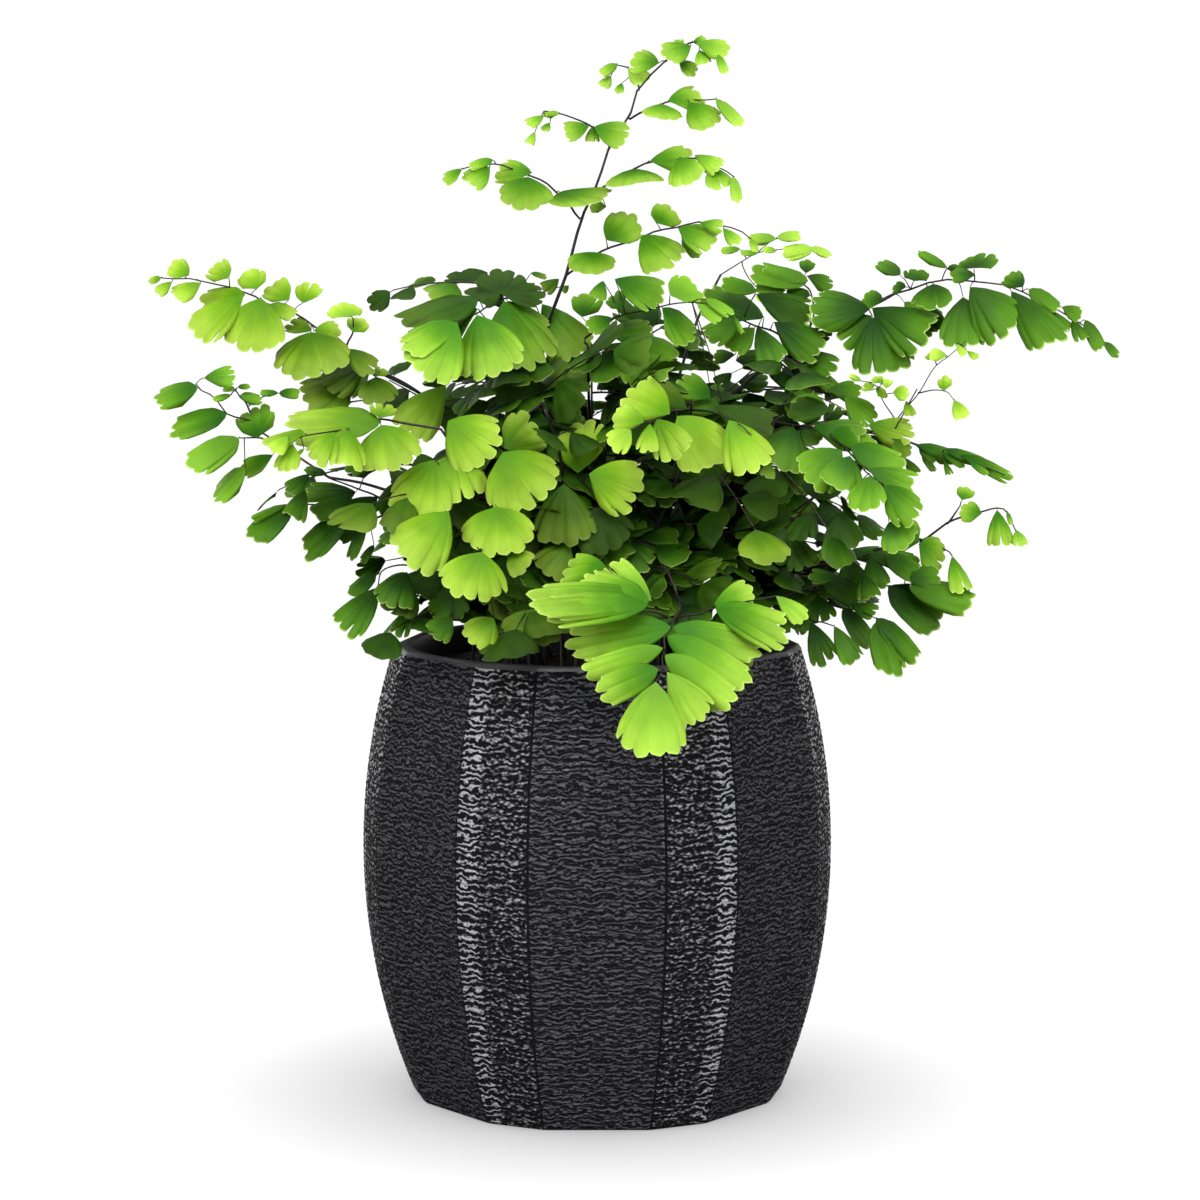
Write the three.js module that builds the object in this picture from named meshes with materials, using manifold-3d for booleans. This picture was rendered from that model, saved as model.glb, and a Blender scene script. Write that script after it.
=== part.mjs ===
// A maidenhair fern in a faceted pot. Millimetres, +Z up, -Y to the front.
// The origin is the centre of the pot's flat underside.
import * as THREE from "three";
import { mergeVertices } from "three/addons/utils/BufferGeometryUtils.js";
import Module from "manifold-3d";

const wasm = await Module();
wasm.setup();

// Pot: a barrel of 14 facets. Radii are measured to the facets' edges.
const potHeight = 145;
const bellyRadius = 75;
const bellyHeight = 80;
const barrelArc = 208; // radius of the arc that the pot's edges follow upwards
const facetPairs = 7; // one wide facet and one narrow one each
const wideFacetHalfAngle = 16.3; // degrees
const openingRadius = 59.5;
const wallThickness = 4;
const lipHeight = 12; // stretch below the rim where the wall narrows to the opening
const floorThickness = 6;
const edgeChamfer = 1.2;
const innerSides = 28;
const wallSteps = 8; // straight stretches from the foot to the rim
const cavitySteps = 6;

// Soil
const soilTop = 136;
const soilDome = 1.5;
const soilShoulder = { radius: 0.6, rise: 0.7 }; // shares of the opening's radius and of the dome

// Room kept between pieces that don't belong together
const clearance = 0.3;

// Stems and leaflets
const stalkRadius = 0.9; // the frond's own stem
const stalkSides = 5;
const rootDepth = 12; // length of the stem that stands in its hole
const rootStub = 4; // and how far it goes straight on above the soil
const rootRadius = 1.1; // of the stretch that stands in the soil
const stubOverlap = 1; // length that the straight stretch and the bent one share
const extraStemSteps = 3; // straight pieces that a stem has beyond one for each of its points
const ribWidth = 1; // a spray's spine
const sprayBow = 0.12; // how far it arches, as a share of its length
const leafThickness = 0.7;
const notchDepth = 0.13; // between two lobes, as a share of the leaflet's length
const leafDroop = 0.14; // how far a leaflet's edge hangs, as a share of its length
const footOverlap = 1.5; // volume that two blades of one frond may share at their feet
const firstLeafAlong = 0.12; // share of a spray's length before its first leaflet
const leafTurns = [64, 48]; // degrees between a leaflet and the spine, at the spray's foot and tip
const leafTurnSpread = 12;
const leafSizes = [0.88, 1.12];
const leafTwistSpread = 44;
const leafPitches = [-18, 12];
const cornerRoom = 8; // degrees between a leaflet's near corner and the spine
const lobeLengths = [0, 9, 16]; // a leaflet has a lobe for each of these lengths that it reaches

const up = new THREE.Vector3(0, 0, 1);
const radians = THREE.MathUtils.degToRad;

const greens = { lime: 0x8fbf2a, fresh: 0x6aa823, mid: 0x4a8a1c, deep: 0x2c6416 };

// The fronds that show from the front. root: where the stem leaves the soil, as x and y.
// stem: the points that it bends through. faces: the compass direction that its leaflets lean to.
// green: the colour of its leaflets.
// sprays: [stem point that it grows from, its far end, number of leaflets, their length at its foot,
// and at its tip, leaflet shape, tilt of its leaflets from level in degrees]
const fronds = {
  tall: {
    root: [-10, 6], faces: -90, green: "fresh",
    stem: [[-18, 2, 180], [-19, 0, 219], [-16, -2, 244], [-10, -4, 261], [-5, -5, 279], [0, -5, 290],
      [4, -4, 302], [10, -3, 311], [13, -2, 320], [22, -4, 329]],
    sprays: [
      [3, [49, -28, 271], 6, 17, 8, "fan", 38],
      [4, [-49, -22, 292], 6, 15, 6, "fan", 36],
      [5, [44, -18, 288], 7, 14, 7, "fan", 38],
      [6, [-22, -14, 304], 5, 11, 6, "fan", 34],
      [7, [46, -12, 311], 5, 13, 8, "fan", 36],
      [8, [0, 8, 322], 4, 8, 6, "fan", 40],
      [9, [41, -14, 330], 5, 10, 8, "fan", 40],
    ],
  },
  leftArch: {
    root: [-16, 2], faces: -100, green: "lime",
    stem: [[-25, 0, 180], [-40, -5, 213], [-54, -12, 224], [-68, -20, 232]],
    sprays: [
      [3, [-136, -28, 264], 11, 18, 7, "fan", 46],
      [3, [-69, -44, 254], 4, 11, 9, "fan", 40],
      [2, [-78, 10, 232], 4, 14, 10, "fan", 35],
    ],
  },
  crownLeft: {
    root: [-9, -1], faces: -95, green: "fresh",
    stem: [[-20, -4, 180], [-24, -8, 229], [-26, 5, 257]],
    sprays: [
      [2, [-41, -46, 245], 5, 23, 22, "fan", 54],
      [1, [4, -42, 240], 4, 18, 16, "fan", 50],
      [2, [-64, -2, 257], 6, 15, 10, "fan", 26],
      [0, [-46, -34, 202], 4, 14, 12, "fan", 50],
      [0, [-42, -44, 190], 4, 14, 12, "fan", 50],
    ],
  },
  leftMid: {
    root: [-22, -5], faces: -115, green: "mid",
    stem: [[-36, -12, 172], [-52, -20, 189], [-70, -25, 197], [-83, -30, 200]],
    sprays: [
      [3, [-130, -40, 229], 8, 13, 8, "fan", 38],
      [3, [-124, -36, 205], 6, 12, 8, "fan", 42],
      [2, [-88, -18, 224], 4, 9, 8, "fan", 35],
    ],
  },
  leftLow: {
    root: [-24, -13], faces: -125, green: "deep",
    stem: [[-36, -21, 158], [-49, -32, 174], [-64, -40, 191]],
    sprays: [
      [2, [-104, -58, 187], 7, 15, 10, "fan", 44],
      [1, [-84, -62, 163], 6, 14, 9, "fan", 46],
      [0, [-62, -58, 156], 4, 14, 13, "fan", 50],
    ],
  },
  paleLeft: {
    root: [-17, -14], faces: -90, green: "lime",
    stem: [[-27, -27, 174], [-37, -45, 200], [-47, -60, 217]],
    sprays: [
      [2, [-91, -88, 217], 5, 23, 15, "fan", 32],
      [1, [-66, -72, 196], 4, 19, 16, "fan", 48],
      [0, [-54, -50, 166], 4, 15, 13, "fan", 50],
    ],
  },
  fans: {
    root: [-7, -13], faces: -92, green: "lime",
    stem: [[-11, -24, 174], [-11, -35, 205], [-16, -45, 222]],
    sprays: [
      [2, [-44, -96, 172], 7, 23, 19, "fan", 56],
      [1, [6, -68, 194], 4, 21, 18, "fan", 60],
      [0, [-24, -68, 158], 4, 18, 16, "fan", 60],
    ],
  },
  brightRight: {
    root: [8, -13], faces: -90, green: "lime",
    stem: [[15, -25, 174], [27, -36, 207], [29, -45, 225]],
    sprays: [
      [2, [9, -95, 218], 5, 20, 15, "fan", 40],
      [2, [52, -76, 216], 5, 17, 14, "fan", 42],
      [1, [47, -66, 188], 4, 16, 14, "fan", 52],
      [0, [31, -58, 170], 4, 15, 13, "fan", 52],
    ],
  },
  frontDrop: {
    root: [3, -22], faces: -90, green: "fresh",
    stem: [[10, -44, 163], [19, -68, 176], [23, -86, 172]],
    sprays: [
      [2, [19, -117, 152], 7, 27, 22, "oblong", 66],
      [2, [-14, -97, 174], 4, 25, 22, "oblong", 58],
      [2, [58, -93, 168], 5, 21, 18, "oblong", 58],
    ],
  },
  rightCentre: {
    root: [14, -9], faces: -80, green: "mid",
    stem: [[28, -17, 173], [44, -30, 208], [57, -42, 220]],
    sprays: [
      [2, [93, -85, 198], 9, 18, 13, "oblong", 44],
      [1, [70, -66, 186], 5, 16, 12, "fan", 52],
    ],
  },
  rightArch: {
    root: [11, 1], faces: -85, green: "deep",
    stem: [[21, 3, 171], [33, 0, 206], [43, -5, 224], [57, -8, 236], [72, -12, 247], [85, -15, 252],
      [94, -16, 257]],
    sprays: [
      [6, [155, -34, 243], 12, 16, 8, "oblong", 42],
      [5, [90, -54, 241], 4, 20, 17, "fan", 44],
      [4, [53, -14, 266], 5, 12, 9, "fan", 26],
      [6, [124, 15, 269], 5, 13, 10, "fan", 30],
      [3, [62, -50, 234], 4, 16, 14, "fan", 44],
      [1, [62, -34, 204], 4, 15, 13, "fan", 46],
      [0, [50, -30, 184], 4, 14, 12, "fan", 50],
    ],
  },
  midCentre: {
    root: [1, -4], faces: -90, green: "mid",
    stem: [[2, -1, 171], [-2, 0, 210], [-3, -10, 240]],
    sprays: [
      [2, [45, -45, 250], 7, 17, 11, "fan", 38],
      [1, [18, -52, 234], 5, 16, 13, "fan", 44],
      [1, [-12, -46, 214], 4, 15, 13, "fan", 50],
      [0, [30, -34, 186], 4, 14, 12, "fan", 52],
      [0, [26, -30, 176], 4, 14, 12, "fan", 52],
    ],
  },
  shoots: {
    root: [23, 0], faces: -90, green: "lime",
    stem: [[44, -4, 171], [72, -25, 197], [88, -38, 211], [98, -40, 228]],
    sprays: [
      [3, [109, -42, 243], 4, 6, 6, "fan", 50],
      [2, [80, -52, 230], 5, 8, 7, "fan", 55],
      [2, [112, -52, 208], 5, 9, 7, "fan", 50],
    ],
  },
  lowShoots: {
    root: [27, -8], faces: -80, green: "fresh",
    stem: [[48, -8, 162], [76, -25, 174], [100, -32, 181]],
    sprays: [
      [2, [129, -48, 184], 5, 9, 7, "fan", 55],
      [1, [108, -54, 172], 4, 12, 10, "fan", 55],
    ],
  },
  narrow: {
    root: [26, 8], faces: -80, green: "mid",
    stem: [[50, 10, 177], [80, 0, 201], [97, -10, 210]],
    sprays: [[2, [129, -30, 202], 9, 10, 5, "oblong", 24]],
  },
  rightLow: {
    root: [26, -16], faces: -70, green: "deep",
    stem: [[46, -18, 155], [66, -25, 165], [85, -30, 171]],
    sprays: [
      [2, [115, -48, 164], 6, 16, 11, "fan", 44],
      [1, [95, -64, 151], 6, 15, 11, "fan", 48],
      [0, [68, -56, 154], 4, 15, 12, "fan", 55],
    ],
  },
  backPale: {
    root: [10, 14], faces: -90, green: "fresh",
    stem: [[17, 30, 190], [31, 50, 240], [41, 62, 260]],
    sprays: [
      [2, [79, 85, 267], 6, 10, 7, "fan", 25],
      [2, [59, 96, 273], 4, 9, 8, "fan", 25],
    ],
  },
};

// The rest of the plant, by rule: [compass direction, how far it reaches, how high its end stands]
const innerFronds = [
  [14, 98, 214], [42, 104, 228], [70, 96, 240], [96, 108, 218], [120, 98, 236], [144, 104, 222],
  [168, 98, 204],
];
const innerRootRing = 19;
const innerStem = [[0.3, 0.42], [0.65, 0.78], [1, 0.95]]; // shares of the stem's length and of its rise
const innerStemReach = 0.62; // the stem's share of the reach, the end spray has the rest
const innerSprayReach = [0.4, 0.4, 0.45];
const innerSprayTurns = [52, -52, 0]; // degrees from the stem's own direction
const innerSprayFall = 0.2; // how far a spray's end may hang, as a share of its length
const innerLeaves = 4;
const innerLeafLengths = [16, 11];
const innerTilt = [30, 50];
const firstInnerSeed = 101;
const firstLeafSeed = 7;

// Ways to fit a leaflet in a narrow place: [size, more twist, more pitch]
const leafChanges = [1, 0.88, 0.76, 0.64].flatMap((size) => [
  [size, 0, 0], [size, 18, 0], [size, -18, 0], [size, 0, 16], [size, 0, -16],
]);
const gapTolerance = 0.99; // a gap is measured a little short of the true one

// Random numbers between 0 and 1 that are the same on every run
function seededRandom(seed) {
  let state = seed;
  return () => {
    state = (state + 0x6d2b79f5) | 0;
    let mixed = Math.imul(state ^ (state >>> 15), 1 | state);
    mixed = (mixed + Math.imul(mixed ^ (mixed >>> 7), 61 | mixed)) ^ mixed;
    return ((mixed ^ (mixed >>> 14)) >>> 0) / 4294967296;
  };
}

function vector(point) {
  return new THREE.Vector3(...point);
}

function compass(degrees) {
  return new THREE.Vector3(Math.cos(radians(degrees)), Math.sin(radians(degrees)), 0);
}

// A closed geometry as a solid that can be joined and cut
function solidOf(geometry) {
  const plain = geometry.clone();
  for (const name of ["normal", "uv"]) plain.deleteAttribute(name);
  const merged = mergeVertices(plain, 1e-4);
  return new wasm.Manifold(
    new wasm.Mesh({
      numProp: 3,
      vertProperties: new Float32Array(merged.attributes.position.array),
      triVerts: new Uint32Array(merged.index.array),
    }),
  );
}

function geometryOf(solid) {
  const mesh = solid.getMesh();
  const geometry = new THREE.BufferGeometry();
  geometry.setAttribute("position", new THREE.BufferAttribute(mesh.vertProperties, 3));
  geometry.setIndex(new THREE.BufferAttribute(mesh.triVerts, 1));
  geometry.computeVertexNormals();
  return geometry;
}

function namedMesh(name, solid, material) {
  const mesh = new THREE.Mesh(geometryOf(solid), material);
  mesh.name = name;
  return mesh;
}

// Radius of the pot's upright edges at a height
function edgeRadius(z) {
  return bellyRadius - (barrelArc - Math.sqrt(barrelArc ** 2 - (z - bellyHeight) ** 2));
}

// Distance from the pot's axis to the middle of its wide facets, as a share of the edge radius
const facetShare = Math.cos(radians(wideFacetHalfAngle));

function cavityRadius(z) {
  const lipStart = potHeight - lipHeight;
  const wallInside = facetShare * edgeRadius(Math.min(z, lipStart)) - wallThickness;
  const lip = THREE.MathUtils.clamp((z - lipStart) / lipHeight, 0, 1);
  return THREE.MathUtils.lerp(wallInside, openingRadius, lip);
}

// A turned solid from a list of [radius, height] that starts and ends on the axis
function turned(profile, sides) {
  return new THREE.LatheGeometry(
    profile.map(([radius, z]) => new THREE.Vector2(radius, z)),
    sides,
  ).rotateX(Math.PI / 2);
}

function heights(from, to, steps) {
  return Array.from({ length: steps + 1 }, (_, i) => from + ((to - from) * i) / steps);
}

// Turns the vertices of an evenly divided barrel so that wide and narrow facets alternate
function makeFacetsUneven(geometry) {
  const position = geometry.attributes.position;
  const evenStep = 180 / facetPairs;
  for (let i = 0; i < position.count; i++) {
    const x = position.getX(i);
    const y = position.getY(i);
    const fromFront = THREE.MathUtils.radToDeg(Math.atan2(y, x)) + 90;
    const edge = Math.round(fromFront / evenStep);
    const pair = Math.floor(edge / 2);
    const side = edge - 2 * pair === 0 ? -1 : 1;
    const angle = radians(-90 + (pair * 360) / facetPairs + side * wideFacetHalfAngle);
    const radius = Math.hypot(x, y);
    position.setXY(i, radius * Math.cos(angle), radius * Math.sin(angle));
  }
  return geometry;
}

function potSolid() {
  const sides = heights(edgeChamfer, potHeight - edgeChamfer, wallSteps).map((z) => [edgeRadius(z), z]);
  const barrel = makeFacetsUneven(
    turned(
      [[0, 0], [edgeRadius(0) - edgeChamfer, 0], ...sides,
        [edgeRadius(potHeight) - edgeChamfer, potHeight], [0, potHeight]],
      2 * facetPairs,
    ),
  );
  const walls = heights(floorThickness, potHeight, cavitySteps).map((z) => [cavityRadius(z), z]);
  const above = potHeight + edgeChamfer;
  const cavity = turned([[0, floorThickness], ...walls, [openingRadius, above], [0, above]], innerSides);
  return solidOf(barrel).subtract(solidOf(cavity));
}

function rootPlace(frond) {
  return new THREE.Vector3(frond.root[0], frond.root[1], soilTop);
}

function soilSolid(allFronds) {
  const rim = heights(floorThickness, soilTop, cavitySteps).map((z) => [cavityRadius(z) - clearance, z]);
  const shoulder = [openingRadius * soilShoulder.radius, soilTop + soilDome * soilShoulder.rise];
  let soil = solidOf(turned([[0, floorThickness], ...rim, shoulder, [0, soilTop + soilDome]], innerSides));
  const holeRadius = rootRadius + clearance;
  const holeDepth = rootDepth + clearance;
  for (const frond of allFronds) {
    const hole = new THREE.CylinderGeometry(holeRadius, holeRadius, 2 * holeDepth, stalkSides)
      .rotateX(Math.PI / 2);
    hole.translate(...rootPlace(frond).toArray());
    soil = soil.subtract(solidOf(hole));
  }
  return soil;
}

// A stem of a few flat sides along a curve
function stemGeometry(curve, steps) {
  const section = new THREE.Shape(
    Array.from({ length: stalkSides }, (_, i) => {
      const angle = (2 * Math.PI * i) / stalkSides;
      return new THREE.Vector2(stalkRadius * Math.cos(angle), stalkRadius * Math.sin(angle));
    }),
  );
  return new THREE.ExtrudeGeometry(section, { steps, extrudePath: curve, bevelEnabled: false });
}

// Half opening angle of each leaflet shape, in degrees, and how much shorter it is at its corners
const leafShapes = {
  fan: { half: 58, corner: 0.2 },
  oblong: { half: 25, corner: 0.25 },
};

// The spine of a spray bows upwards a little on its way out
function spraySpine(start, end) {
  const middle = start.clone().add(end).multiplyScalar(0.5);
  middle.z += sprayBow * start.distanceTo(end);
  return new THREE.QuadraticBezierCurve3(start, middle, end);
}

// A spray lies in a plane that leans to one side. Its frame at a point of the spine: ahead along the
// spine, face out of the plane, and left across it
function sprayFrame(spine, share, lean) {
  const ahead = spine.getTangentAt(share);
  const face = lean.clone().addScaledVector(ahead, -lean.dot(ahead)).normalize();
  const left = new THREE.Vector3().crossVectors(face, ahead);
  return { origin: spine.getPointAt(share), ahead, face, left };
}

function spanPoint(frame, ahead, left, height) {
  return frame.origin.clone().addScaledVector(frame.ahead, ahead).addScaledVector(frame.left, left)
    .addScaledVector(frame.face, height);
}

// Where each leaflet of a spray stands: to the left and right in turn, and one ahead at the end.
// turn is its angle from the spine, twist and pitch tilt it out of the spray's plane
function leafPlaces(spine, spray, lean, random) {
  const [, , count, footLength, tipLength, shape] = spray;
  return Array.from({ length: count }, (_, i) => {
    const share = count > 1 ? i / (count - 1) : 1;
    const along = THREE.MathUtils.lerp(firstLeafAlong, 1, share);
    const sideways = i % 2 === 0 ? 1 : -1;
    const side = i === count - 1 ? 0 : sideways;
    const turn = THREE.MathUtils.lerp(...leafTurns, share) + leafTurnSpread * (random() - 0.5);
    const room = side === 0 ? 90 : turn - cornerRoom;
    const lengthHere = THREE.MathUtils.lerp(footLength, tipLength, share);
    return {
      along: along * spine.getLength(),
      frame: sprayFrame(spine, along, lean),
      side,
      turn: side === 0 ? 0 : radians(turn),
      half: radians(Math.min(leafShapes[shape].half, room)),
      corner: leafShapes[shape].corner,
      length: lengthHere * THREE.MathUtils.lerp(...leafSizes, random()),
      twist: radians(leafTwistSpread * (random() - 0.5)),
      pitch: radians(THREE.MathUtils.lerp(...leafPitches, random())),
    };
  });
}

// A vertex of a blade: its place in the plane that the outline is drawn in, and in space
function bladeVertex(frame, origin, ahead, left, height) {
  const flat = new THREE.Vector2(origin + ahead, left);
  return { flat, point: spanPoint(frame, ahead, left, height), frame };
}

// The edge of a leaflet from its corner on the right to its corner on the left, with lobes and notches
function leafEdge(place) {
  const lobes = lobeLengths.filter((length) => place.length >= length).length;
  const mirror = place.side === 0 ? 1 : place.side;
  const edge = Array.from({ length: 2 * lobes + 1 }, (_, i) => {
    const share = i / lobes - 1;
    const isNotch = i % 2 === 0 && i > 0 && i < 2 * lobes;
    const reach = place.length * (1 - place.corner * share ** 2) * (isNotch ? 1 - notchDepth : 1);
    const off = place.half * share;
    const angle = mirror * (place.turn + off);
    const height = reach * Math.sin(place.pitch) - (leafDroop * reach ** 2) / place.length
      + Math.tan(place.twist) * reach * Math.sin(off);
    const [ahead, left] = [reach * Math.cos(angle), reach * Math.sin(angle)];
    return bladeVertex(place.frame, place.along, ahead, left, height);
  });
  return mirror === 1 ? edge : edge.reverse();
}

// The leaflet's outline with its foot on the edge of the rib, in the order of the spray's outline
function leafOutline(place) {
  const foot = (ahead, side) => bladeVertex(place.frame, place.along, ahead, (side * ribWidth) / 2, 0);
  const half = ribWidth / 2;
  if (place.side === 0) return [foot(-half, -1), ...leafEdge(place), foot(-half, 1)];
  const step = place.side * half;
  return [foot(step, place.side), ...leafEdge(place), foot(-step, place.side)];
}

// Triangles between two rows of vertices that run side by side along a rib
function ribTriangles(outline, right, left) {
  const triangles = [];
  let [i, j] = [0, 0];
  while (i < right.length - 1 || j < left.length - 1) {
    const [nextRight, nextLeft] = [right[i + 1], left[j + 1]];
    const isRightNearer = nextLeft === undefined
      || (nextRight !== undefined && outline[nextRight].flat.x < outline[nextLeft].flat.x);
    triangles.push([right[i], isRightNearer ? nextRight : nextLeft, left[j]]);
    if (isRightNearer) i += 1;
    else j += 1;
  }
  return triangles;
}

// A thin closed solid from the stretches of its outline. Both faces are split into the same triangles:
// each leaflet by itself, and then the rib
function bladeSolid(stretches) {
  const outline = stretches.flat();
  const count = outline.length;
  const upper = [];
  const feet = [];
  let first = 0;
  for (const stretch of stretches) {
    const flat = stretch.map((vertex) => vertex.flat);
    const corners = flat.length > 2 ? THREE.ShapeUtils.triangulateShape(flat, []) : [];
    upper.push(...corners.map((triangle) => triangle.map((corner) => first + corner)));
    feet.push(...new Set([first, first + stretch.length - 1]));
    first += stretch.length;
  }
  const right = feet.filter((i) => outline[i].flat.y < 0);
  const left = feet.filter((i) => outline[i].flat.y > 0).reverse();
  if (right.length > 0 && left.length > 0) upper.push(...ribTriangles(outline, right, left));
  const lower = upper.map(([a, b, c]) => [count + c, count + b, count + a]);
  const positions = [leafThickness / 2, -leafThickness / 2].flatMap((height) =>
    outline.flatMap(({ point, frame }) => point.clone().addScaledVector(frame.face, height).toArray()));
  const walls = outline.flatMap((_, i) => {
    const next = (i + 1) % count;
    return [count + i, count + next, next, count + i, next, i];
  });
  const geometry = new THREE.BufferGeometry();
  geometry.setAttribute("position", new THREE.BufferAttribute(new Float32Array(positions), 3));
  geometry.setIndex([...upper.flat(), ...lower.flat(), ...walls]);
  return solidOf(geometry);
}

// The stretches of a spray's outline: out along its right side, round its end leaflet and back on its
// left. Each leaflet is a stretch that starts and ends on the rib
function sprayOutline(spine, lean, places) {
  const start = sprayFrame(spine, 0, lean);
  const end = sprayFrame(spine, 1, lean);
  const length = spine.getLength();
  const half = ribWidth / 2;
  const inOrder = (side) => places.filter((place) => place.side === side);
  const last = inOrder(0).length
    ? leafOutline(inOrder(0)[0])
    : [bladeVertex(end, length, 0, -half, 0), bladeVertex(end, length, 0, half, 0)];
  return [
    [bladeVertex(start, 0, 0, -half, 0)],
    ...inOrder(-1).map(leafOutline),
    last,
    ...inOrder(1).reverse().map(leafOutline),
    [bladeVertex(start, 0, 0, half, 0)],
  ];
}

// Whether two leaflets of one spray cross in the plane of its outline
function outlinesCross(one, other) {
  const turnOf = (a, b, c) => (b.x - a.x) * (c.y - a.y) - (b.y - a.y) * (c.x - a.x);
  return one.some((a, i) => {
    const b = one[(i + 1) % one.length];
    return other.some((c, j) => {
      const d = other[(j + 1) % other.length];
      return turnOf(a, b, c) * turnOf(a, b, d) < 0 && turnOf(c, d, a) * turnOf(c, d, b) < 0;
    });
  });
}

// A frond that is made by rule, in the same form as those in the list
function innerFrond([azimuth, reach, height], random) {
  const outward = compass(azimuth);
  const stem = innerStem.map(([out, rise]) => {
    const distance = THREE.MathUtils.lerp(innerRootRing, reach * innerStemReach, out);
    return [outward.x * distance, outward.y * distance, soilTop + (height - soilTop) * rise];
  });
  const sprays = innerSprayTurns.map((turn, i) => {
    const length = reach * innerSprayReach[i];
    const end = vector(stem[i]).addScaledVector(compass(azimuth + turn), length);
    end.z -= length * innerSprayFall * random();
    const tilt = THREE.MathUtils.lerp(...innerTilt, random());
    return [i, end.toArray(), innerLeaves, ...innerLeafLengths, "fan", tilt];
  });
  const root = [outward.x * innerRootRing, outward.y * innerRootRing];
  return { root, faces: azimuth, green: "deep", stem, sprays };
}

// Everything that stands so far, with the node that it belongs to and its box
const standing = [];

function keep(owner, solid, isBlade = false) {
  const entry = { owner, solid, isBlade, box: solid.boundingBox() };
  standing.push(entry);
  return entry;
}

// Whether two boxes lie further apart than the clearance
function boxesApart(one, other) {
  return [0, 1, 2].some(
    (axis) => one.min[axis] > other.max[axis] + clearance || one.max[axis] < other.min[axis] - clearance,
  );
}

// Clear of every other node, and of the other blades of the same frond but for their feet
function isClear(owner, solid, own = null) {
  const box = solid.boundingBox();
  return standing.every((other) => {
    if (other === own || (other.owner === owner && !other.isBlade)) return true;
    if (boxesApart(box, other.box)) return true;
    if (other.owner === owner) return solid.intersect(other.solid).volume() < footOverlap;
    return solid.minGap(other.solid, clearance) >= clearance * gapTolerance;
  });
}

function stemOf(frond) {
  const foot = rootPlace(frond);
  const start = foot.clone().addScaledVector(up, rootStub - stubOverlap);
  const curve = new THREE.CatmullRomCurve3([start, ...frond.stem.map(vector)], false, "catmullrom");
  const steps = frond.stem.length + extraStemSteps;
  const stub = new THREE.CylinderGeometry(rootRadius, rootRadius, rootDepth + rootStub, stalkSides)
    .rotateX(Math.PI / 2);
  stub.translate(foot.x, foot.y, foot.z + (rootStub - rootDepth) / 2);
  const solid = solidOf(stemGeometry(curve, steps)).add(solidOf(stub));
  return { solid, bends: curve.getSpacedPoints(steps) };
}

function nearest(points, place) {
  return points.reduce((best, point) => (point.distanceTo(place) < best.distanceTo(place) ? point : best));
}

function flatOutline(place) {
  return leafOutline(place).map((vertex) => vertex.flat);
}

// Gives a spray the leaflets that fit: clear of each other, and of everything that stands
function fitLeaves({ name, spine, lean, entry, places }) {
  const fitted = [];
  for (const place of places) {
    for (const [size, twist, pitch] of leafChanges) {
      const changed = { ...place, length: place.length * size,
        twist: place.twist + radians(twist), pitch: place.pitch + radians(pitch) };
      const outline = flatOutline(changed);
      if (fitted.some((other) => outlinesCross(outline, flatOutline(other)))) continue;
      if (!isClear(name, bladeSolid([leafOutline(changed)]), entry)) continue;
      const blade = bladeSolid(sprayOutline(spine, lean, [...fitted, changed]));
      if (!isClear(name, blade, entry)) continue;
      fitted.push(changed);
      entry.solid = blade;
      entry.box = blade.boundingBox();
      break;
    }
  }
}

function finish(color, roughness) {
  return new THREE.MeshStandardMaterial({ color, roughness, metalness: 0 });
}

const allFronds = { ...fronds };
innerFronds.forEach((rule, i) => {
  allFronds[`inner_${i + 1}`] = innerFrond(rule, seededRandom(firstInnerSeed + i));
});

const plant = new THREE.Group();
plant.name = "potted_fern";
const pot = potSolid();
const soil = soilSolid(Object.values(allFronds));
plant.add(namedMesh("pot", pot, finish(0x2a2a2d, 0.42)));
plant.add(namedMesh("soil", soil, finish(0x241a12, 0.95)));
keep("pot", pot);

// Stems stand first, in their holes, and then the spines of their sprays, so that leaflets are fitted
// between them
const grown = {};
const bends = {};
for (const [name, frond] of Object.entries(allFronds)) {
  const stem = stemOf(frond);
  if (!isClear(name, stem.solid)) throw new Error(`the stem of ${name} touches another node`);
  grown[name] = [keep(name, stem.solid)];
  bends[name] = stem.bends;
}
keep("soil", soil);
const sprays = [];
for (const [name, frond] of Object.entries(allFronds)) {
  for (const spray of frond.sprays) {
    const [stemPoint, end, , , , , tilt] = spray;
    const lean = up.clone().multiplyScalar(Math.cos(radians(tilt)))
      .addScaledVector(compass(frond.faces), Math.sin(radians(tilt)));
    const start = nearest(bends[name], vector(frond.stem[stemPoint]));
    const spine = spraySpine(start, vector(end));
    const solid = bladeSolid(sprayOutline(spine, lean, []));
    if (!isClear(name, solid)) throw new Error(`a spray of ${name} touches another node, at ${end}`);
    const places = leafPlaces(spine, spray, lean, seededRandom(firstLeafSeed + sprays.length));
    const entry = keep(name, solid, true);
    grown[name].push(entry);
    sprays.push({ name, spine, lean, entry, places });
  }
}
sprays.forEach(fitLeaves);

for (const [name, entries] of Object.entries(grown)) {
  const whole = wasm.Manifold.union(entries.map((entry) => entry.solid));
  plant.add(namedMesh(name, whole, finish(greens[allFronds[name].green], 0.55)));
}

export default plant;
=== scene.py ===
# A maidenhair fern in a charcoal pot. Lengths are in millimetres here and become metres in the meshes.
import math

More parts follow.
